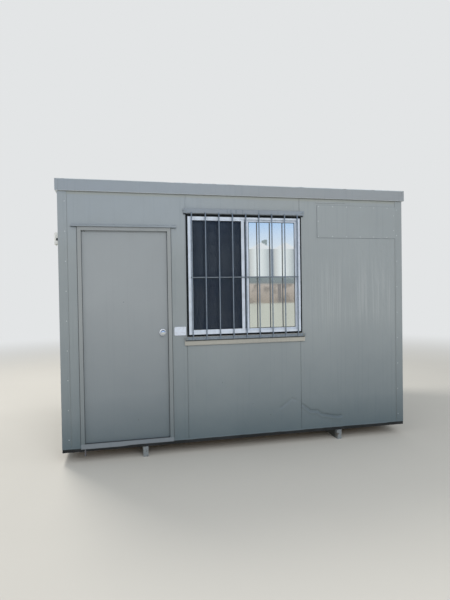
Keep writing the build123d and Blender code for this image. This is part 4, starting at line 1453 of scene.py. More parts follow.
    def hem(self) -> None:
        """Builds the front fascia's rolled top edge, pale as a painted highlight and flattened where it was
        knocked.
        """
        shape = bmesh.new()
        for start, end in self.hem_runs:
            sections = []
            for x in divide(start, end, max(4, math.ceil((end - start) / self.hem_step))):
                ends = clamped(min((x - start) / self.hem_taper, (end - x) / self.hem_taper))
                size = self.hem_radius * (0.3 + 0.7 * ends) * (1 + 0.2 * wander(x * 17, 6.0))
                lift = self.top_lift(x) * clamped((HALF_LENGTH - 0.03 - abs(x)) / 0.15)
                middle = self.fascia_top - self.hem_radius * 0.6 + lift
                sections.append([(x, self.hem_y + a, middle + b) for a, b in circle(size, 10)])
            add_loft(shape, sections)
        dress("fascia_front_hem", shape, self.finishes.hem)

    def sealant(self) -> None:
        """Builds the sealant under the fascias, also painting shade there, dark strips of painted shade where
        their ends meet, and an old bead.
        """
        shape = bmesh.new()
        top = self.fascia_bottom - 0.0003
        for side in (-1, 1):
            section = [(side * (HALF_DEPTH + proud), top - drop) for proud, drop in self.bead_drops]
            add_strip(shape, section, -self.bead_end, self.bead_end, steps=24)
        front, back = self.wrap_faces
        for edge in (-self.wrap_edge, self.wrap_edge):
            low = (edge - self.wrap_half, front, self.fascia_bottom + 0.002)
            add_block(shape, low, (edge + self.wrap_half, back, self.fascia_top - 0.004))
        points = [Vector((x, self.old_bead_y, z)) for x, z in self.old_bead]
        for start, end in zip(points, points[1:]):
            add_rod(shape, start, end, self.old_bead_radius, sides=8)
        dress("fascia_sealant_and_shade", shape, self.finishes.sealant)

    def knocks(self) -> None:
        """Builds the small dark scabs where the front wall's paint is knocked."""
        shape = bmesh.new()
        for place in self.scuffs:
            add_stud(shape, place, WALL_FACE + 0.003, WALL_FACE - 0.0005, self.scuff_radius, sides=10)
        dress("front_wall_scuffs", shape, self.finishes.shadow)

    def fit(self) -> None:
        """Builds and dresses the shell."""
        steps = (self.panels, self.lip, self.joint_seals, self.fascia, self.hem, self.sealant, self.knocks)
        for build in steps:
            build()
        paint_nodes(self.finishes.flashing, "corner_flashings")
        paint_nodes(self.finishes.trim, "fascia_back", "fascia_left", "fascia_right", "roof_joint_caps")


@dataclass
class Doorway(Assembly):
    """The doorway: frame, head flashing, sill, leaf, hinges, lock and knob."""

    bead: float = 0.0055
    bead_proud: float = 0.0035
    bead_foot: float = 0.16
    knob_axis: Span = (-0.84, 1.208)
    knob_half: Line = (
        (0.0, 0.02), (0.0, 0.55), (0.0015, 0.72), (0.004, 0.84), (0.008, 0.94), (0.013, 0.99),
        (0.018, 1.0), (0.023, 0.985), (0.028, 0.93), (0.033, 0.82), (0.037, 0.68), (0.0405, 0.55),
        (0.043, 0.46), (0.0445, 0.41), (0.047, 0.385),
    )
    stop_lap: float = 0.005
    seal_show: float = 0.0032
    clearance: float = 0.0003
    sill_parts: int = 24
    knock_from: float = -1.25
    knock_run: float = 0.09
    knock_up: float = 0.0055
    knock_wave: float = 0.0012
    bumpers: Line = ((-1.586, 2.192), (-1.5651, 2.192))
    bumper_size: Span = (0.004, 0.003)
    chips: Line = ((-1.2143, 1.5138), (-1.0891, 0.3593))
    chip_size: Span = (0.0032, 0.0005)

    def frame_shade_lines(self) -> None:
        """Builds dark strips as painted shade where the frame's edge meets the wall and under the head
        flashing's ends.
        """
        low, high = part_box("door_frame")
        head_low, head_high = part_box("door_head_flashing")
        shape = bmesh.new()
        outline = ((0, 0), (1, 0), (0.6, 0.6), (0, 1))
        for edge, side in ((low.x, -1), (high.x, 1)):
            places = [(edge + side * self.bead * a, WALL_FACE - self.bead_proud * b) for a, b in outline]
            section = [Vector((x, y, self.bead_foot)) for x, y in places]
            add_run(shape, section, Vector((0, 0, head_low.z - 0.002 - self.bead_foot)), steps=20)
        for start, end in ((head_low.x, low.x), (high.x, head_high.x)):
            under = (start, WALL_FACE - 0.003, head_low.z - 0.0035)
            add_block(shape, under, (end, WALL_FACE + 0.001, head_low.z - 0.0002))
        dress("door_frame_shade_lines", shape, self.finishes.shadow)

    def knob(self) -> None:
        """Builds the turned knobs on both faces of the leaf, with their shaft."""
        low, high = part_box("door_knob")
        radius = (high.x - low.x) / 2
        profile = [(low.y + depth, radius * share) for depth, share in self.knob_half]
        profile += [(high.y - depth, radius * share) for depth, share in reversed(self.knob_half)]
        shape = bmesh.new()
        add_turned(shape, profile, self.knob_axis)
        dress("door_knob_turned", shape, self.finishes.chrome, ["door_knob"], 50.0, Body.KNOB)

    def sill(self) -> None:
        """Builds the sill: the CAD folded sheet, with its lower edge knocked up over the right half."""
        shape = copy_of("door_sill")
        low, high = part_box("door_sill")
        slice_across(shape, low.x, high.x, self.sill_parts)
        for vert in shape.verts:
            if vert.co.z < low.z + 0.0015:
                share = clamped((vert.co.x - self.knock_from) / self.knock_run)
                wave = self.knock_wave * (1 + wander(vert.co.x * 9.0, 3.0))
                vert.co.z += self.knock_up * share * share * (3 - 2 * share) + wave
        dress("door_sill_sheet", shape, self.finishes.threshold, ["door_sill"])

    def seals(self) -> None:
        """Builds the dark foam on the frame's stops and the strip over the sill, clear of the leaf; both also
        paint the recess's shade.
        """
        shape = bmesh.new()
        low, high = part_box("door_leaf")
        sill_low, sill_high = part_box("door_sill")
        left, right = low.x + self.stop_lap, high.x - self.stop_lap
        back, front = low.y - self.clearance, low.y - self.stop_lap + self.clearance
        foot, head = sill_high.z + 0.002, high.z - self.stop_lap
        add_block(shape, (left, front, foot), (left + self.seal_show, back, head))
        add_block(shape, (right - self.seal_show, front, foot), (right, back, head))
        near = (left, sill_low.y + 0.002, sill_high.z + 0.0001)
        add_block(shape, near, (right, back - 0.0005, sill_high.z + 0.0016))
        ease(shape, 0.0004)
        dress("door_seals_and_shade", shape, self.finishes.shadow)

    def marks(self) -> None:
        """Builds two small round bumpers at the leaf's upper left corner and two knocks in its paint."""
        shape = bmesh.new()
        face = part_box("door_leaf")[0].y
        for places, (radius, proud) in ((self.bumpers, self.bumper_size), (self.chips, self.chip_size)):
            for place in places:
                add_stud(shape, place, face + 0.001, face - proud, radius)
        dress("door_leaf_marks", shape, self.finishes.bead, body=Body.DOOR)

    def fit(self) -> None:
        """Builds and dresses the doorway."""
        for build in (self.frame_shade_lines, self.knob, self.sill, self.seals, self.marks):
            build()
        paint_nodes(self.finishes.frame, "door_frame")
        paint_nodes(self.finishes.door, "door_leaf")
        paint_nodes(self.finishes.drip, "door_head_flashing")
        paint_nodes(self.finishes.rose, "door_lock")
        paint_nodes(self.finishes.zinc, "hinge_frame_halves", "hinge_door_halves")


@dataclass
class SlidingWindow(Assembly):
    """The sliding window: frame, sashes, panes, glazing rubber, insect screen and packing."""

    rail: float = 0.030
    rubber: float = 0.0055
    screen_frame: float = 0.032
    screen_lap: float = 0.006
    spline: float = 0.004
    spline_lap: float = 0.0005
    mesh_pitch: float = 0.0016
    mesh_wire: float = 0.00031
    fixed_light: Span = (0.045, 0.546)
    sliding_light: Span = (-0.526, 0.018)
    fixed_glass_y: float = -1.190
    sliding_glass_y: float = -1.1715
    glass: float = 0.004
    lap: float = 0.0075
    clearance: float = 0.0005
    strip_height: float = 0.0058
    strip_thick: float = 0.0018

    def panes(self) -> None:
        """Builds the two panes, each with ground edges."""
        low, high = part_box("window_glass")
        fixed = ("fixed_pane", self.fixed_light, self.fixed_glass_y, self.finishes.fixed_pane)
        sliding = ("sliding_pane", self.sliding_light, self.sliding_glass_y, self.finishes.screened_pane)
        for name, (left, right), face, finish in (fixed, sliding):
            shape = bmesh.new()
            add_block(shape, (left - self.lap, face, low.z), (right + self.lap, face + self.glass, high.z))
            ease(shape, 0.0004, segments=1)
            dress(name, shape, finish, ["window_glass"])

    def rubbers(self) -> None:
        """Builds the glazing rubber round both lights, in front of the glass and behind it."""
        low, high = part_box("window_sashes")
        bottom, top = low.z + self.rail, high.z - self.rail
        lights = ((self.fixed_light, self.fixed_glass_y), (self.sliding_light, self.sliding_glass_y))
        shape = bmesh.new()
        for (left, right), face in lights:
            behind = face + self.glass
            for front, back in ((face - 0.0022, face - 0.0001), (behind + 0.0001, behind + 0.002)):
                add_surround(shape, (left, bottom), (right, top), self.rubber, front, back)
        dress("glazing_rubber", shape, self.finishes.bead)

    def screen(self) -> None:
        """Builds the insect screen: a white frame, a spline groove and woven wire."""
        low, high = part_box("flyscreen")
        high.z += self.screen_lap
        inset, middle = self.screen_frame, (low.y + high.y) / 2
        shape = bmesh.new()
        add_surround(shape, (low.x, low.z), (high.x, high.z), inset, low.y, high.y)
        ease(shape, 0.0008)
        dress("flyscreen_frame", shape, self.finishes.white, ["flyscreen"])
        spline, edge = bmesh.new(), inset - self.spline_lap
        corner, far = (low.x + edge, low.z + edge), (high.x - edge, high.z - edge)
        add_surround(spline, corner, far, self.spline, middle - 0.0035, middle - 0.0006)
        dress("flyscreen_spline", spline, self.finishes.bead)
        values = {
            "Width": high.x - low.x - 2 * inset,
            "Height": high.z - low.z - 2 * inset,
            "Pitch": self.mesh_pitch,
            "Wire": self.mesh_wire,
            "Corner": (low.x + inset, middle, low.z + inset),
            "Material": self.finishes.wire,
        }
        mesh = MeshWeave().grow(path_mesh([[Vector((0, 0, 0)), Vector((0, 0, 0.001))]]), values)
        dress("flyscreen_mesh", mesh, self.finishes.wire, ["flyscreen"])

    def packing(self) -> None:
        """Builds black foam in the gap round the frame, also painting the gap's shade, and a dark strip of
        painted shade on the frame's top.
        """
        low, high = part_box("window_gasket")
        frame_low, frame_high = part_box("window_frame")
        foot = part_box("window_sill_flashing")[1].z + self.clearance
        width = frame_low.x - low.x - 2 * self.clearance
        foam, strip = bmesh.new(), bmesh.new()
        corner, far = (low.x + self.clearance, foot), (high.x - self.clearance, high.z - self.clearance)
        add_surround(foam, corner, far, width, WALL_FACE + 0.0008, low.y - 0.0002)
        ease(foam, 0.001)
        dress("window_packing", foam, self.finishes.foam)
        top, face = frame_high.z + 0.001, frame_low.y - 0.0001
        near = (frame_low.x, face - self.strip_thick, top - self.strip_height)
        add_block(strip, near, (frame_high.x, face, top))
        ease(strip, 0.0005)
        dress("window_head_shade_strip", strip, self.finishes.bead)

    def fit(self) -> None:
        """Builds and dresses the window."""
        for build in (self.panes, self.rubbers, self.screen, self.packing):
            build()
        paint_nodes(self.finishes.white, "window_frame", "window_sashes")
        # The gasket's black foam also paints the shade deep in the gap round the frame.
        paint_nodes(self.finishes.foam, "window_gasket")
        paint_nodes(self.finishes.sill, "window_sill_flashing")


@dataclass
class WindowGuard(Assembly):
    """The guard over the window: angles at head and foot, upright bars and a cross bar, welded together."""

    angle: float = 0.004
    reach: float = 0.026
    eased: float = 0.003
    head_bottom: float = 2.382
    head_top: float = 2.426
    foot_bottom: float = 1.123
    foot_top: float = 1.153
    foot_back: float = -1.2085
    bars: int = 9
    bar_radius: float = 0.00599
    bar_top: float = 2.39
    first_bar: float = -0.5444
    bar_pitch: float = 0.1386
    bar_y: float = -1.2315
    cross_y: float = -1.2200
    cross_z: float = 1.745
    lean: float = 0.0012
    weld: float = 0.0028
    angle_weld_y: float = -1.2264
    cross_weld_y: float = -1.2262
    foot_weld_rises: tuple[float, ...] = (0.006, 0.014, 0.023)
    head_weld_rise: float = 0.003
    cross_weld_half: float = 0.0045
    bead_back: float = -1.1995

    def angles(self) -> None:
        """Builds the head and foot angles with eased edges."""
        low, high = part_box("window_guard")
        face = WALL_FACE - self.reach
        head = ("head", self.head_top, self.head_bottom, WALL_FACE, self.finishes.head)
        foot = ("foot", self.foot_bottom, self.foot_top, self.foot_back, self.finishes.angles)
        for name, edge, tip, back, finish in (head, foot):
            inner = edge + math.copysign(self.angle, tip - edge)
            eased = edge + math.copysign(self.eased, tip - edge)
            outside = ((face, tip), (face, eased), (face + self.eased, edge), (back, edge))
            inside = ((back, inner), (face + self.angle, inner), (face + self.angle, tip))
            shape = bmesh.new()
            add_strip(shape, outside + inside, low.x, high.x, steps=12)
            dress(f"guard_{name}_angle", shape, finish, ["window_guard"], 20.0)

    def bar_set(self) -> None:
        """Builds the upright bars and the cross bar behind them."""
        bar, cross = bmesh.new(), bmesh.new()
        half = (self.bar_top - self.foot_bottom) / 2
        add_rod(bar, Vector((0, 0, -half)), Vector((0, 0, half)), self.bar_radius, steps=6, sides=20)
        values = {
            "Bars": self.bars,
            "Pitch": self.bar_pitch,
            "First": (self.first_bar, self.bar_y, self.foot_bottom + half),
            "Lean": (0.0, self.lean, 0.0),
            "Seed": SEED,
            "Material": self.finishes.bars,
        }
        mesh = BarRow().grow(settle(bar), values)
        dress("guard_bars", mesh, self.finishes.bars, ["window_guard"])
        reach = 2 * self.bar_radius
        start = Vector((self.first_bar - reach, self.cross_y, self.cross_z))
        end = Vector((self.first_bar + (self.bars - 1) * self.bar_pitch + reach, self.cross_y, self.cross_z))
        add_rod(cross, start, end, self.bar_radius, steps=8, sides=20)
        dress("guard_cross_bar", cross, self.finishes.angles, ["window_guard"])

    def welds(self) -> None:
        """Builds the weld beads where each bar meets the angles and the cross bar."""
        places = [(self.angle_weld_y, self.foot_bottom + rise) for rise in self.foot_weld_rises]
        places += [(self.angle_weld_y, self.head_bottom + self.head_weld_rise)]
        places += [(self.cross_weld_y, self.cross_z + side * self.cross_weld_half) for side in (1, -1)]
        spots = []
        for bar in range(self.bars):
            for side in (-1, 1):
                edge = self.first_bar + bar * self.bar_pitch + side * self.bar_radius * 0.8
                spots += [[Vector((edge, y, z))] for y, z in places]
        values = {"Size": self.weld, "Seed": SEED, "Material": self.finishes.angles}
        mesh = WeldBeads().grow(path_mesh(spots), values)
        dress("guard_welds", mesh, self.finishes.angles, ["window_guard"])

    def head_shade_lines(self) -> None:
        """Builds dark strips as painted shade along the head angle's top edge and under its two ends."""
        low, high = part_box("window_guard")
        gap_low, gap_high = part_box("window_gasket")
        shape = bmesh.new()
        near = (low.x, WALL_FACE - 0.0028, self.head_top - 0.0005)
        add_block(shape, near, (high.x, self.bead_back, self.head_top + 0.0022))
        for start, end in ((low.x + 0.002, gap_low.x), (gap_high.x, high.x - 0.002)):
            near = (start, WALL_FACE - 0.0035, self.head_bottom - 0.012)
            add_block(shape, near, (end, self.bead_back, self.head_bottom + 0.001))
        ease(shape, 0.0006, segments=1)
        dress("guard_head_shade_lines", shape, self.finishes.shadow)

    def foot_shade_line(self) -> None:
        """Builds a dark strip as painted shade between the foot angle and the sill flashing under it."""
        low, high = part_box("window_guard")
        face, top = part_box("window_sill_flashing")[0].y - 0.0001, self.foot_bottom - 0.0003
        outline = ((face, top), (face - 0.004, top), (face - 0.0025, top - 0.006), (face, top - 0.009))
        shape = bmesh.new()
        add_strip(shape, outline, low.x + 0.004, high.x - 0.004, steps=16)
        dress("guard_foot_shade_line", shape, self.finishes.shadow)

    def fit(self) -> None:
        """Builds and dresses the guard."""
        for build in (self.angles, self.bar_set, self.welds, self.head_shade_lines, self.foot_shade_line):
            build()


@dataclass
class FixingPlan(Assembly):
    """Where the rivets and screws sit."""

    rivet: float = 0.0035
    screw: float = 0.007
    seat: float = 0.0016
    corner_inset: float = 0.062
    corner_pitch: float = 0.28
    corner_span: Span = (0.22, 2.47)
    plate_inset: float = 0.014
    plate_pitch: float = 0.16
    fascia_y: float = 1.2198
    fascia_pitch: float = 0.3315
    front_row: Place = (-1.525, 1.4585, 2.663)
    back_row: Place = (-1.6, 1.6, 2.667)
    lap_x: float = 0.906
    lap_y: float = -1.2214
    lap_span: Span = (2.587, 2.65)
    cap_half: float = 0.027
    cap_reach: float = 1.08
    cap_top: float = 2.6765
    cap_pitch: float = 0.24
    guard_y: float = -1.2262
    guard_ends: Span = (-0.606, 0.626)
    guard_heights: Span = (2.404, 1.138)

    def rows(self) -> list[tuple[str, Side, Head, float, list[list[Vector]]]]:
        """Lists the rows.

        Returns:
            Name, side, head, pitch and lines of each set.
        """
        plan = []
        foot, head = self.corner_span
        for side in (Side.FRONT, Side.BACK, Side.LEFT, Side.RIGHT):
            out, half = (HALF_LENGTH, HALF_DEPTH) if side.is_end else (HALF_DEPTH, HALF_LENGTH)
            lines = []
            for turn in (-1, 1):
                spot = side.out * (out + self.seat) + side.along * turn * (half - self.corner_inset)
                lines.append([spot + side.up * foot, spot + side.up * head])
            plan.append((f"corner_rivets_{side.name.lower()}", side, Head.DOME, self.corner_pitch, lines))
        low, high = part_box("blanking_plate")
        left, right = low.x + self.plate_inset, high.x - self.plate_inset
        foot, head = low.z + self.plate_inset, high.z - self.plate_inset
        ring = ((left, foot), (right, foot), (right, head), (left, head), (left, foot))
        lines = [[Vector((x, low.y, z)) for x, z in ring]]
        plan.append(("blanking_plate_rivets", Side.FRONT, Head.DOME, self.plate_pitch, lines))
        for side, (start, end, z) in ((Side.FRONT, self.front_row), (Side.BACK, self.back_row)):
            lines = [[side.out * self.fascia_y + Vector((x, 0, z)) for x in (start, end)]]
            if side is Side.FRONT:
                lines.append([Vector((self.lap_x, self.lap_y, z)) for z in self.lap_span])
            plan.append((f"fascia_rivets_{side.name.lower()}", side, Head.DOME, self.fascia_pitch, lines))
        places = [joint + shift for joint in JOINTS for shift in (-self.cap_half, self.cap_half)]
        lines = [[Vector((x, y, self.cap_top)) for y in (-self.cap_reach, self.cap_reach)] for x in places]
        plan.append(("roof_cap_screws", Side.ROOF, Head.HEX, self.cap_pitch, lines))
        # Each angle of the guard has one screw at either end.
        lines = [[Vector((x, self.guard_y, z)) for x in self.guard_ends] for z in self.guard_heights]
        reach = self.guard_ends[1] - self.guard_ends[0]
        plan.append(("guard_screws", Side.FRONT, Head.HEX, reach, lines))
        return plan

    def fit(self) -> None:
        """Builds every row and puts it on the cabin."""
        recipes = {head: FixingRow(head) for head in Head}
        rivets = (self.rivet, self.finishes.trim, Slot.TRIM)
        screws = (self.screw, self.finishes.zinc, Slot.ZINC)
        for name, side, head, pitch, lines in self.rows():
            radius, finish, slot = rivets if head is Head.DOME else screws
            values = {"Pitch": pitch, "Radius": radius, "Facing": tuple(side.out), "Material": finish}
            dress(name, recipes[head].grow(path_mesh(lines), values), finish)


@dataclass
class Undercarriage(Assembly):
    """What the cabin stands on: base rails, joists, floor and two sawn beams."""

    ring_points: int = 5
    station: float = 0.045
    corner: float = 0.003
    wear: float = 0.0011
    grain: float = 60.0
    tab_sides: Span = (-1.598, -1.586)
    tab_top: float = 0.1215
    tab_foot: float = 0.057
    tab_faces: Span = (-1.2014, -1.2001)
    tab_screw: Span = (-1.592, 0.112)
    tab_screw_radius: float = 0.0035

    def beam(self, node: str) -> None:
        """Builds a sawn beam with worn edges, inside its CAD solid.

        Args:
            node: The beam's CAD node.
        """
        low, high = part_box(node)
        middle = Vector(((low.x + high.x) / 2, 0, (low.z + high.z) / 2))
        outline = self.outline(low, high)
        sections = []
        for y in divide(low.y, high.y, math.ceil((high.y - low.y) / self.station)):
            section = []
            for x, z in outline:
                worn = self.wear * (0.5 + 0.5 * wander(x * self.grain, y * 5, z * self.grain))
                inward = (middle - Vector((x, 0, z))).normalized() * worn
                if z < low.z + 0.0005:
                    # The underside stays flat on the ground.
                    inward.z = 0
                section.append((x + inward.x, y, z + inward.z))
            sections.append(section)
        shape = bmesh.new()
        add_loft(shape, sections)
        dress(f"{node}_beam", shape, self.finishes.pine, [node])

    def outline(self, low: Vector, high: Vector) -> list[Span]:
        """Draws a beam's section, with eased corners.

        Args:
            low: The beam's corner with the lowest values.
            high: Its corner with the highest.

        Returns:
            X and Z of the section's points.
        """
        spots = ((low.x, low.z), (high.x, low.z), (high.x, high.z), (low.x, high.z))
        corners = [Vector(spot) for spot in spots]
        points = []
        for start, end in zip(corners, corners[1:] + corners[:1]):
            length = (end - start).length
            way = (end - start).normalized()
            places = [self.corner, *divide(0.0, length, self.ring_points)[1:-1], length - self.corner]
            points += [tuple(start + way * place) for place in places]
        return points

    def tab(self) -> None:
        """Builds the narrow steel tab that hangs from the front rail under the door, with its screw."""
        shape = bmesh.new()
        front, back = self.tab_faces
        section = (
            (back, self.tab_top),
            (front, self.tab_top),
            (front, self.tab_foot + 0.004),
            (front - 0.002, self.tab_foot),
            (front - 0.0008, self.tab_foot - 0.0004),
            (back, self.tab_foot + 0.0035),
        )
        add_strip(shape, section, *self.tab_sides)
        add_stud(shape, self.tab_screw, front, front - 0.003, self.tab_screw_radius)
        dress("base_tab", shape, self.finishes.tab)

    def fit(self) -> None:
        """Builds and dresses the undercarriage."""
        for node in ("bearer_left", "bearer_right"):
            self.beam(node)
        self.tab()
        rails = ("base_rail_front", "base_rail_back", "side_base_rails", "floor_joists")
        paint_nodes(self.finishes.black, *rails)
        paint_nodes(self.finishes.floor, "floor_deck")


@dataclass
class Services(Assembly):
    """The power inlet on the left end, the outlet beside the door and the blanking plate."""

    bead: float = 0.0025
    socket_axis: Span = (-1.8165, 2.122)
    socket_face: Line = (
        (-1.0974, 0.0002), (-1.0974, 0.0125), (-1.0966, 0.0136), (-1.094, 0.0136), (-1.094, 0.0002),
    )

    def plate_edge_shade(self) -> None:
        """Builds the dark sealant round the blanking plate, also painting shade along its edges, most of it
        at the left.
        """
        low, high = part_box("blanking_plate")
        shape, edge = bmesh.new(), self.bead
        corner, far = (low.x - edge, low.z - edge * 0.8), (high.x + edge * 0.5, high.z + edge * 0.35)
        add_surround(shape, corner, far, edge, low.y + 0.0004, high.y)
        dress("blanking_plate_edge_shade", shape, self.finishes.shadow)

    def socket(self) -> None:
        """Builds the dark face at the bottom of the power inlet's hole, which also paints the hole's shade.
        """
        shape = bmesh.new()
        add_turned(shape, self.socket_face, self.socket_axis, steps=24)
        dress("power_inlet_face", shape, self.finishes.bead)

    def fit(self) -> None:
        """Builds and dresses the services."""
        self.plate_edge_shade()
        self.socket()
        paint_nodes(self.finishes.wall, "blanking_plate")
        paint_nodes(self.finishes.box, "power_inlet_box")
        paint_nodes(self.finishes.plastic, "power_outlet")


@dataclass(frozen=True)
class SoftLamp:
    """A wide soft lamp; its level is how brightly it lights a white card at the aim, as a share of white."""

    name: str
    place: Place
    aim: Place
    size: float
    level: float
    colour: str

    def hang(self) -> None:
        """Adds the lamp, which glass and metal don't mirror."""
        light = bpy.data.lights.new(self.name, "AREA")
        light.size = self.size
        light.color = linear(self.colour)[:3]
        way = Vector(self.aim) - Vector(self.place)
        light.energy = self.level * math.pi**2 * way.length_squared
        lamp = bpy.data.objects.new(self.name, light)
        lamp.visible_glossy = False
        lamp.matrix_world = Matrix.Translation(self.place) @ way.to_track_quat("-Z", "Y").to_matrix().to_4x4()
        bpy.context.scene.collection.objects.link(lamp)


@dataclass(frozen=True)
class Studio:
    """A pale floor, plain soft light and the photograph's viewpoint."""

    floor_colour: str = "#C9C8C4"
    floor_blots: str = "#C2C1BD"
    mirrored_floor: str = "#C4C6B8"
    backdrop: str = "#E3E5E6"
    ambient: str = "#F2F4F4"
    ambient_strength: float = 0.78
    position: Place = (-1.2249, -5.7151, 1.5931)
    yaw: float = 0.22106
    pitch: float = -0.01676
    roll: float = -0.01511
    focal: float = 457.25
    image_height: float = 600.0
    sensor: float = 36.0
    floor_radius: float = 60.0
    fade: Span = (5.0, 13.0)
    ramp_rise: Span = (-0.1, 0.3)
    ramp: Stops = (
        (0.0, "#D6D7C6"), (0.16, "#D7D7C3"), (0.175, "#978A79"), (0.29, "#B6AA9E"), (0.3, "#6C787A"),
        (0.328, "#7C8A8C"), (0.338, "#DDE6EC"), (0.5, "#E0EBF3"), (0.58, "#CADFF6"), (0.66, "#A6CFF8"),
        (1.0, "#A6CAEE"),
    )
    overhead: str = "#1F3357"
    overhead_rise: Span = (0.7, 1.3)
    litter: str = "#6E665C"
    litter_rise: Span = (-0.033, 0.018)
    upright: str = "#5E5B5B"
    upright_at: Span = (0.3528, 0.0042)
    upright_share: float = 0.85
    tuft: str = "#7F8F91"
    tuft_across: Span = (0.3195, 0.0065)
    tuft_rise: Span = (0.111, 0.008)
    drum_left: float = 0.2825
    drum_width: float = 0.058
    drum_foot: float = 0.0324
    drum_eave: float = 0.098
    drum_pitch: float = 0.52
    drum_top: str = "#E8EBEC"
    drum: Stops = (
        (0.0, "#A3AAAC"), (0.06, "#C9CCC9"), (0.3, "#E9F0EF"), (0.5, "#E3E9E7"), (0.7, "#CAD2D2"),
        (0.84, "#AAB4B8"), (0.93, "#818C96"), (1.0, "#8B959C"),
    )
    lamps: tuple[SoftLamp, ...] = (
        SoftLamp("key", (-3.4, 3.2, 8.5), (0, 0, 1.6), 2.6, 0.75, "#FFF8EE"),
        SoftLamp("front_fill", (0.5, -9.5, 5.5), (0, -1.2, 1.5), 5.0, 0.36, "#FFFDFA"),
    )

    def camera(self) -> None:
        """Sets up the camera where the photograph was taken from."""
        level = Vector((math.cos(self.yaw), -math.sin(self.yaw), 0))
        ahead = Vector((math.sin(self.yaw), math.cos(self.yaw), 0))
        forward = ahead * math.cos(self.pitch) + Vector((0, 0, math.sin(self.pitch)))
        upright = level.cross(forward)
        right = level * math.cos(self.roll) + upright * math.sin(self.roll)
        up = upright * math.cos(self.roll) - level * math.sin(self.roll)
        turn = Matrix((right, up, -forward)).transposed().to_4x4()
        lens = bpy.data.cameras.new("viewpoint")
        lens.lens = self.focal * self.sensor / self.image_height
        lens.sensor_width = self.sensor
        lens.clip_end = 300.0
        camera = bpy.data.objects.new("viewpoint", lens)
        camera.matrix_world = Matrix.Translation(self.position) @ turn
        bpy.context.scene.collection.objects.link(camera)
        bpy.context.scene.camera = camera

    def surroundings(self) -> None:
        """Builds the world: even light, a pale backdrop, and what glass and metal mirror."""
        world = bpy.data.worlds.new("surroundings")
        world.use_nodes = True
        sky = Sketch(world.node_tree)
        sky.tree.nodes.clear()
        light = sky.add("LightPath").outputs
        soft = sky.add("Background", {"Color": linear(self.ambient), "Strength": self.ambient_strength})
        plain = sky.add("Background", {"Color": linear(self.backdrop), "Strength": 1.0})
        mirrored = sky.add("Background", {"Strength": 1.0}, {"Color": self.mirrored_view(sky)})
        links = {0: light["Is Glossy Ray"], 1: soft, 2: mirrored}
        lit = sky.add("MixShader", links=links)
        links = {0: light["Is Camera Ray"], 1: light["Is Transmission Ray"]}
        seen = sky.add("Math", {"operation": "MAXIMUM"}, links)
        shown = sky.add("MixShader", links={0: seen, 1: lit, 2: plain})
        sky.add("OutputWorld", links={0: shown})
        bpy.context.scene.world = world

    def steps(self) -> tuple[tuple[str | float, ...], ...]:
        """Lists the values that the mirrored view is worked out from.

        Returns:
            Name of each value, its sum or kind of node, and what goes in: the names of values, or numbers.
        """
        middle = self.drum_left + self.drum_width
        return (
            ("depth", "ABSOLUTE", "y"),
            ("across", "DIVIDE", "x", "depth"),
            ("rise", "DIVIDE", "z", "depth"),
            ("share", "MapRange", "rise", *self.ramp_rise),
            ("overhead", "MapRange", "rise", *self.overhead_rise),
            # Litter lies on the dry ground, thicker to the right.
            ("noise", "TexNoise", "way", 0.0, 55.0, 3.0),
            ("level", "MapRange", "across", 0.29, 0.37, 0.5, 0.42),
            ("litter", "MapRange", "noise", "level", 0.62, 0.0, 0.75),
            ("above", "GREATER_THAN", "rise", self.litter_rise[0]),
            ("below", "LESS_THAN", "rise", self.litter_rise[1]),
            ("dry", "MULTIPLY", "above", "below"),
            ("litter", "MULTIPLY", "litter", "dry"),
            # A dark upright stands on it, and a ragged tuft shows higher up.
            ("upright", "COMPARE", "across", *self.upright_at),
            ("upright", "MULTIPLY", "upright", "dry"),
            ("upright", "MULTIPLY", "upright", self.upright_share),
            ("beside", "COMPARE", "across", *self.tuft_across),
            ("tuft", "COMPARE", "rise", *self.tuft_rise),
            ("tuft", "MULTIPLY", "beside", "tuft"),
            ("ragged", "GREATER_THAN", "noise", 0.47),
            ("tuft", "MULTIPLY", "tuft", "ragged"),
            # Two round shapes stand side by side, each with a flat cone for a top.
            ("along", "SUBTRACT", "across", self.drum_left),
            ("to_edge", "PINGPONG", "along", self.drum_width / 2),
            ("slope", "MULTIPLY", "to_edge", self.drum_pitch),
            ("ridge", "ADD", "slope", self.drum_eave),
            ("past", "SUBTRACT", "rise", "ridge"),
            ("under", "LESS_THAN", "past", 0.0),
            ("over", "GREATER_THAN", "rise", self.drum_foot),
            ("within", "COMPARE", "across", middle, self.drum_width),
            ("drums", "MULTIPLY", "under", "over"),
            ("drums", "MULTIPLY", "drums", "within"),
            ("turns", "DIVIDE", "along", self.drum_width),
            ("turn", "FRACT", "turns"),
            ("top", "GREATER_THAN", "rise", self.drum_eave),
        )

    def mirrored_view(self, sky: Sketch) -> Feed:
        """Draws what glass and metal mirror: a pale sky over bare ground, and two round shapes.

        Args:
            sky: The world's tree.

        Returns:
            The socket with the colour for a direction.
        """
        way = sky.add("TexCoord").outputs["Generated"]
        axes = sky.add("SeparateXYZ", links={0: way}).outputs
        known = {"way": way, "x": axes["X"], "y": axes["Y"], "z": axes["Z"]}
        for name, kind, *terms in self.steps():
            settings = {place: term for place, term in enumerate(terms) if isinstance(term, float)}
            links = {place: known[term] for place, term in enumerate(terms) if isinstance(term, str)}
            if kind.isupper():
                kind, settings["operation"] = "Math", kind
            known[name] = sky.add(kind, settings, links)
        open_view = sky.add("ValToRGB", links={0: known["share"]}, stops=self.ramp)
        drum = sky.add("ValToRGB", links={0: known["turn"]}, stops=self.drum)
        # Overhead the sky deepens, which the knob's upper half mirrors as a dark arch.
        layers = [(known[name], getattr(self, name)) for name in ("overhead", "litter", "upright", "tuft")]
        drum = sky.coats(drum, (known["top"], self.drum_top))
        return sky.coats(open_view, *layers, (known["drums"], drum))

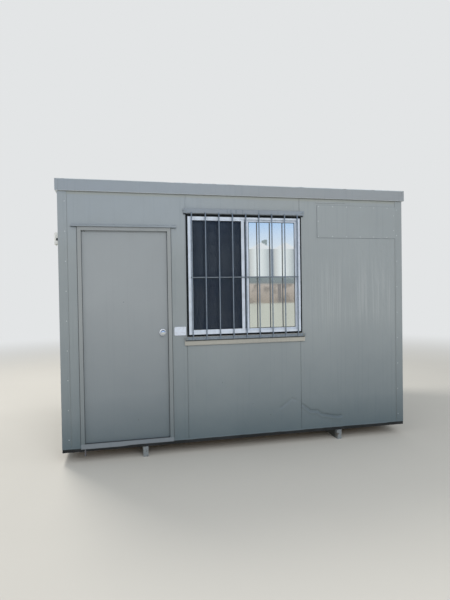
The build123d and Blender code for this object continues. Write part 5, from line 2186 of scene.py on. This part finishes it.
    def floor_material(self) -> Material:
        """Builds the floor's matt paper.

        Returns:
            The material, which fades into the backdrop and shows as pale ground in the panes.
        """
        look = Pattern("studio_floor")
        flat = look.add("VectorMath", {"operation": "LENGTH"}, {0: look.place}).outputs["Value"]
        settings = {"interpolation_type": "SMOOTHSTEP", "From Min": self.fade[0], "From Max": self.fade[1]}
        away = look.add("MapRange", settings, {0: flat})
        light = look.add("LightPath").outputs
        links = {0: light["Is Camera Ray"], 1: light["Is Transmission Ray"]}
        seen = look.add("Math", {"operation": "MAXIMUM"}, links)
        share = look.add("Math", {"operation": "MULTIPLY"}, {0: away, 1: seen})
        # Blots a metre and a half wide keep the paper from looking printed.
        paper = look.coats(self.floor_colour, (look.patches(1.5, most=0.2), self.floor_blots))
        card = look.add("BsdfDiffuse", links={"Color": paper})
        glow, ground = (
            look.add("Emission", {"Color": linear(colour), "Strength": 1.0})
            for colour in (self.backdrop, self.mirrored_floor)
        )
        mixed = look.add("MixShader", links={0: share, 1: card, 2: glow})
        shown = look.add("MixShader", links={0: light["Is Glossy Ray"], 1: mixed, 2: ground})
        look.add("OutputMaterial", links={0: shown})
        return look.material

    def floor(self) -> None:
        """Lays the floor just under the beams."""
        mesh = bpy.data.meshes.new("studio_floor")
        edge = [(x, y, 0) for x, y in circle(self.floor_radius, 96)]
        mesh.from_pydata(edge, [], [range(len(edge))])
        mesh.materials.append(self.floor_material())
        ground = bpy.data.objects.new("studio_floor", mesh)
        bpy.context.scene.collection.objects.link(ground)

    def fit(self) -> None:
        """Sets the whole studio up."""
        self.camera()
        self.surroundings()
        self.floor()
        for lamp in self.lamps:
            lamp.hang()
        bpy.context.scene.view_settings.view_transform = "Standard"


def main() -> None:
    """Builds and dresses the cabin in order."""
    logging.basicConfig(level=logging.INFO, format="%(name)s: %(message)s")
    finishes = Finishes()
    for assembly in (Shell, Doorway, SlidingWindow, WindowGuard, Services, Undercarriage, FixingPlan):
        assembly(finishes).fit()
    Studio().fit()


if __name__ == "__main__":
    main()
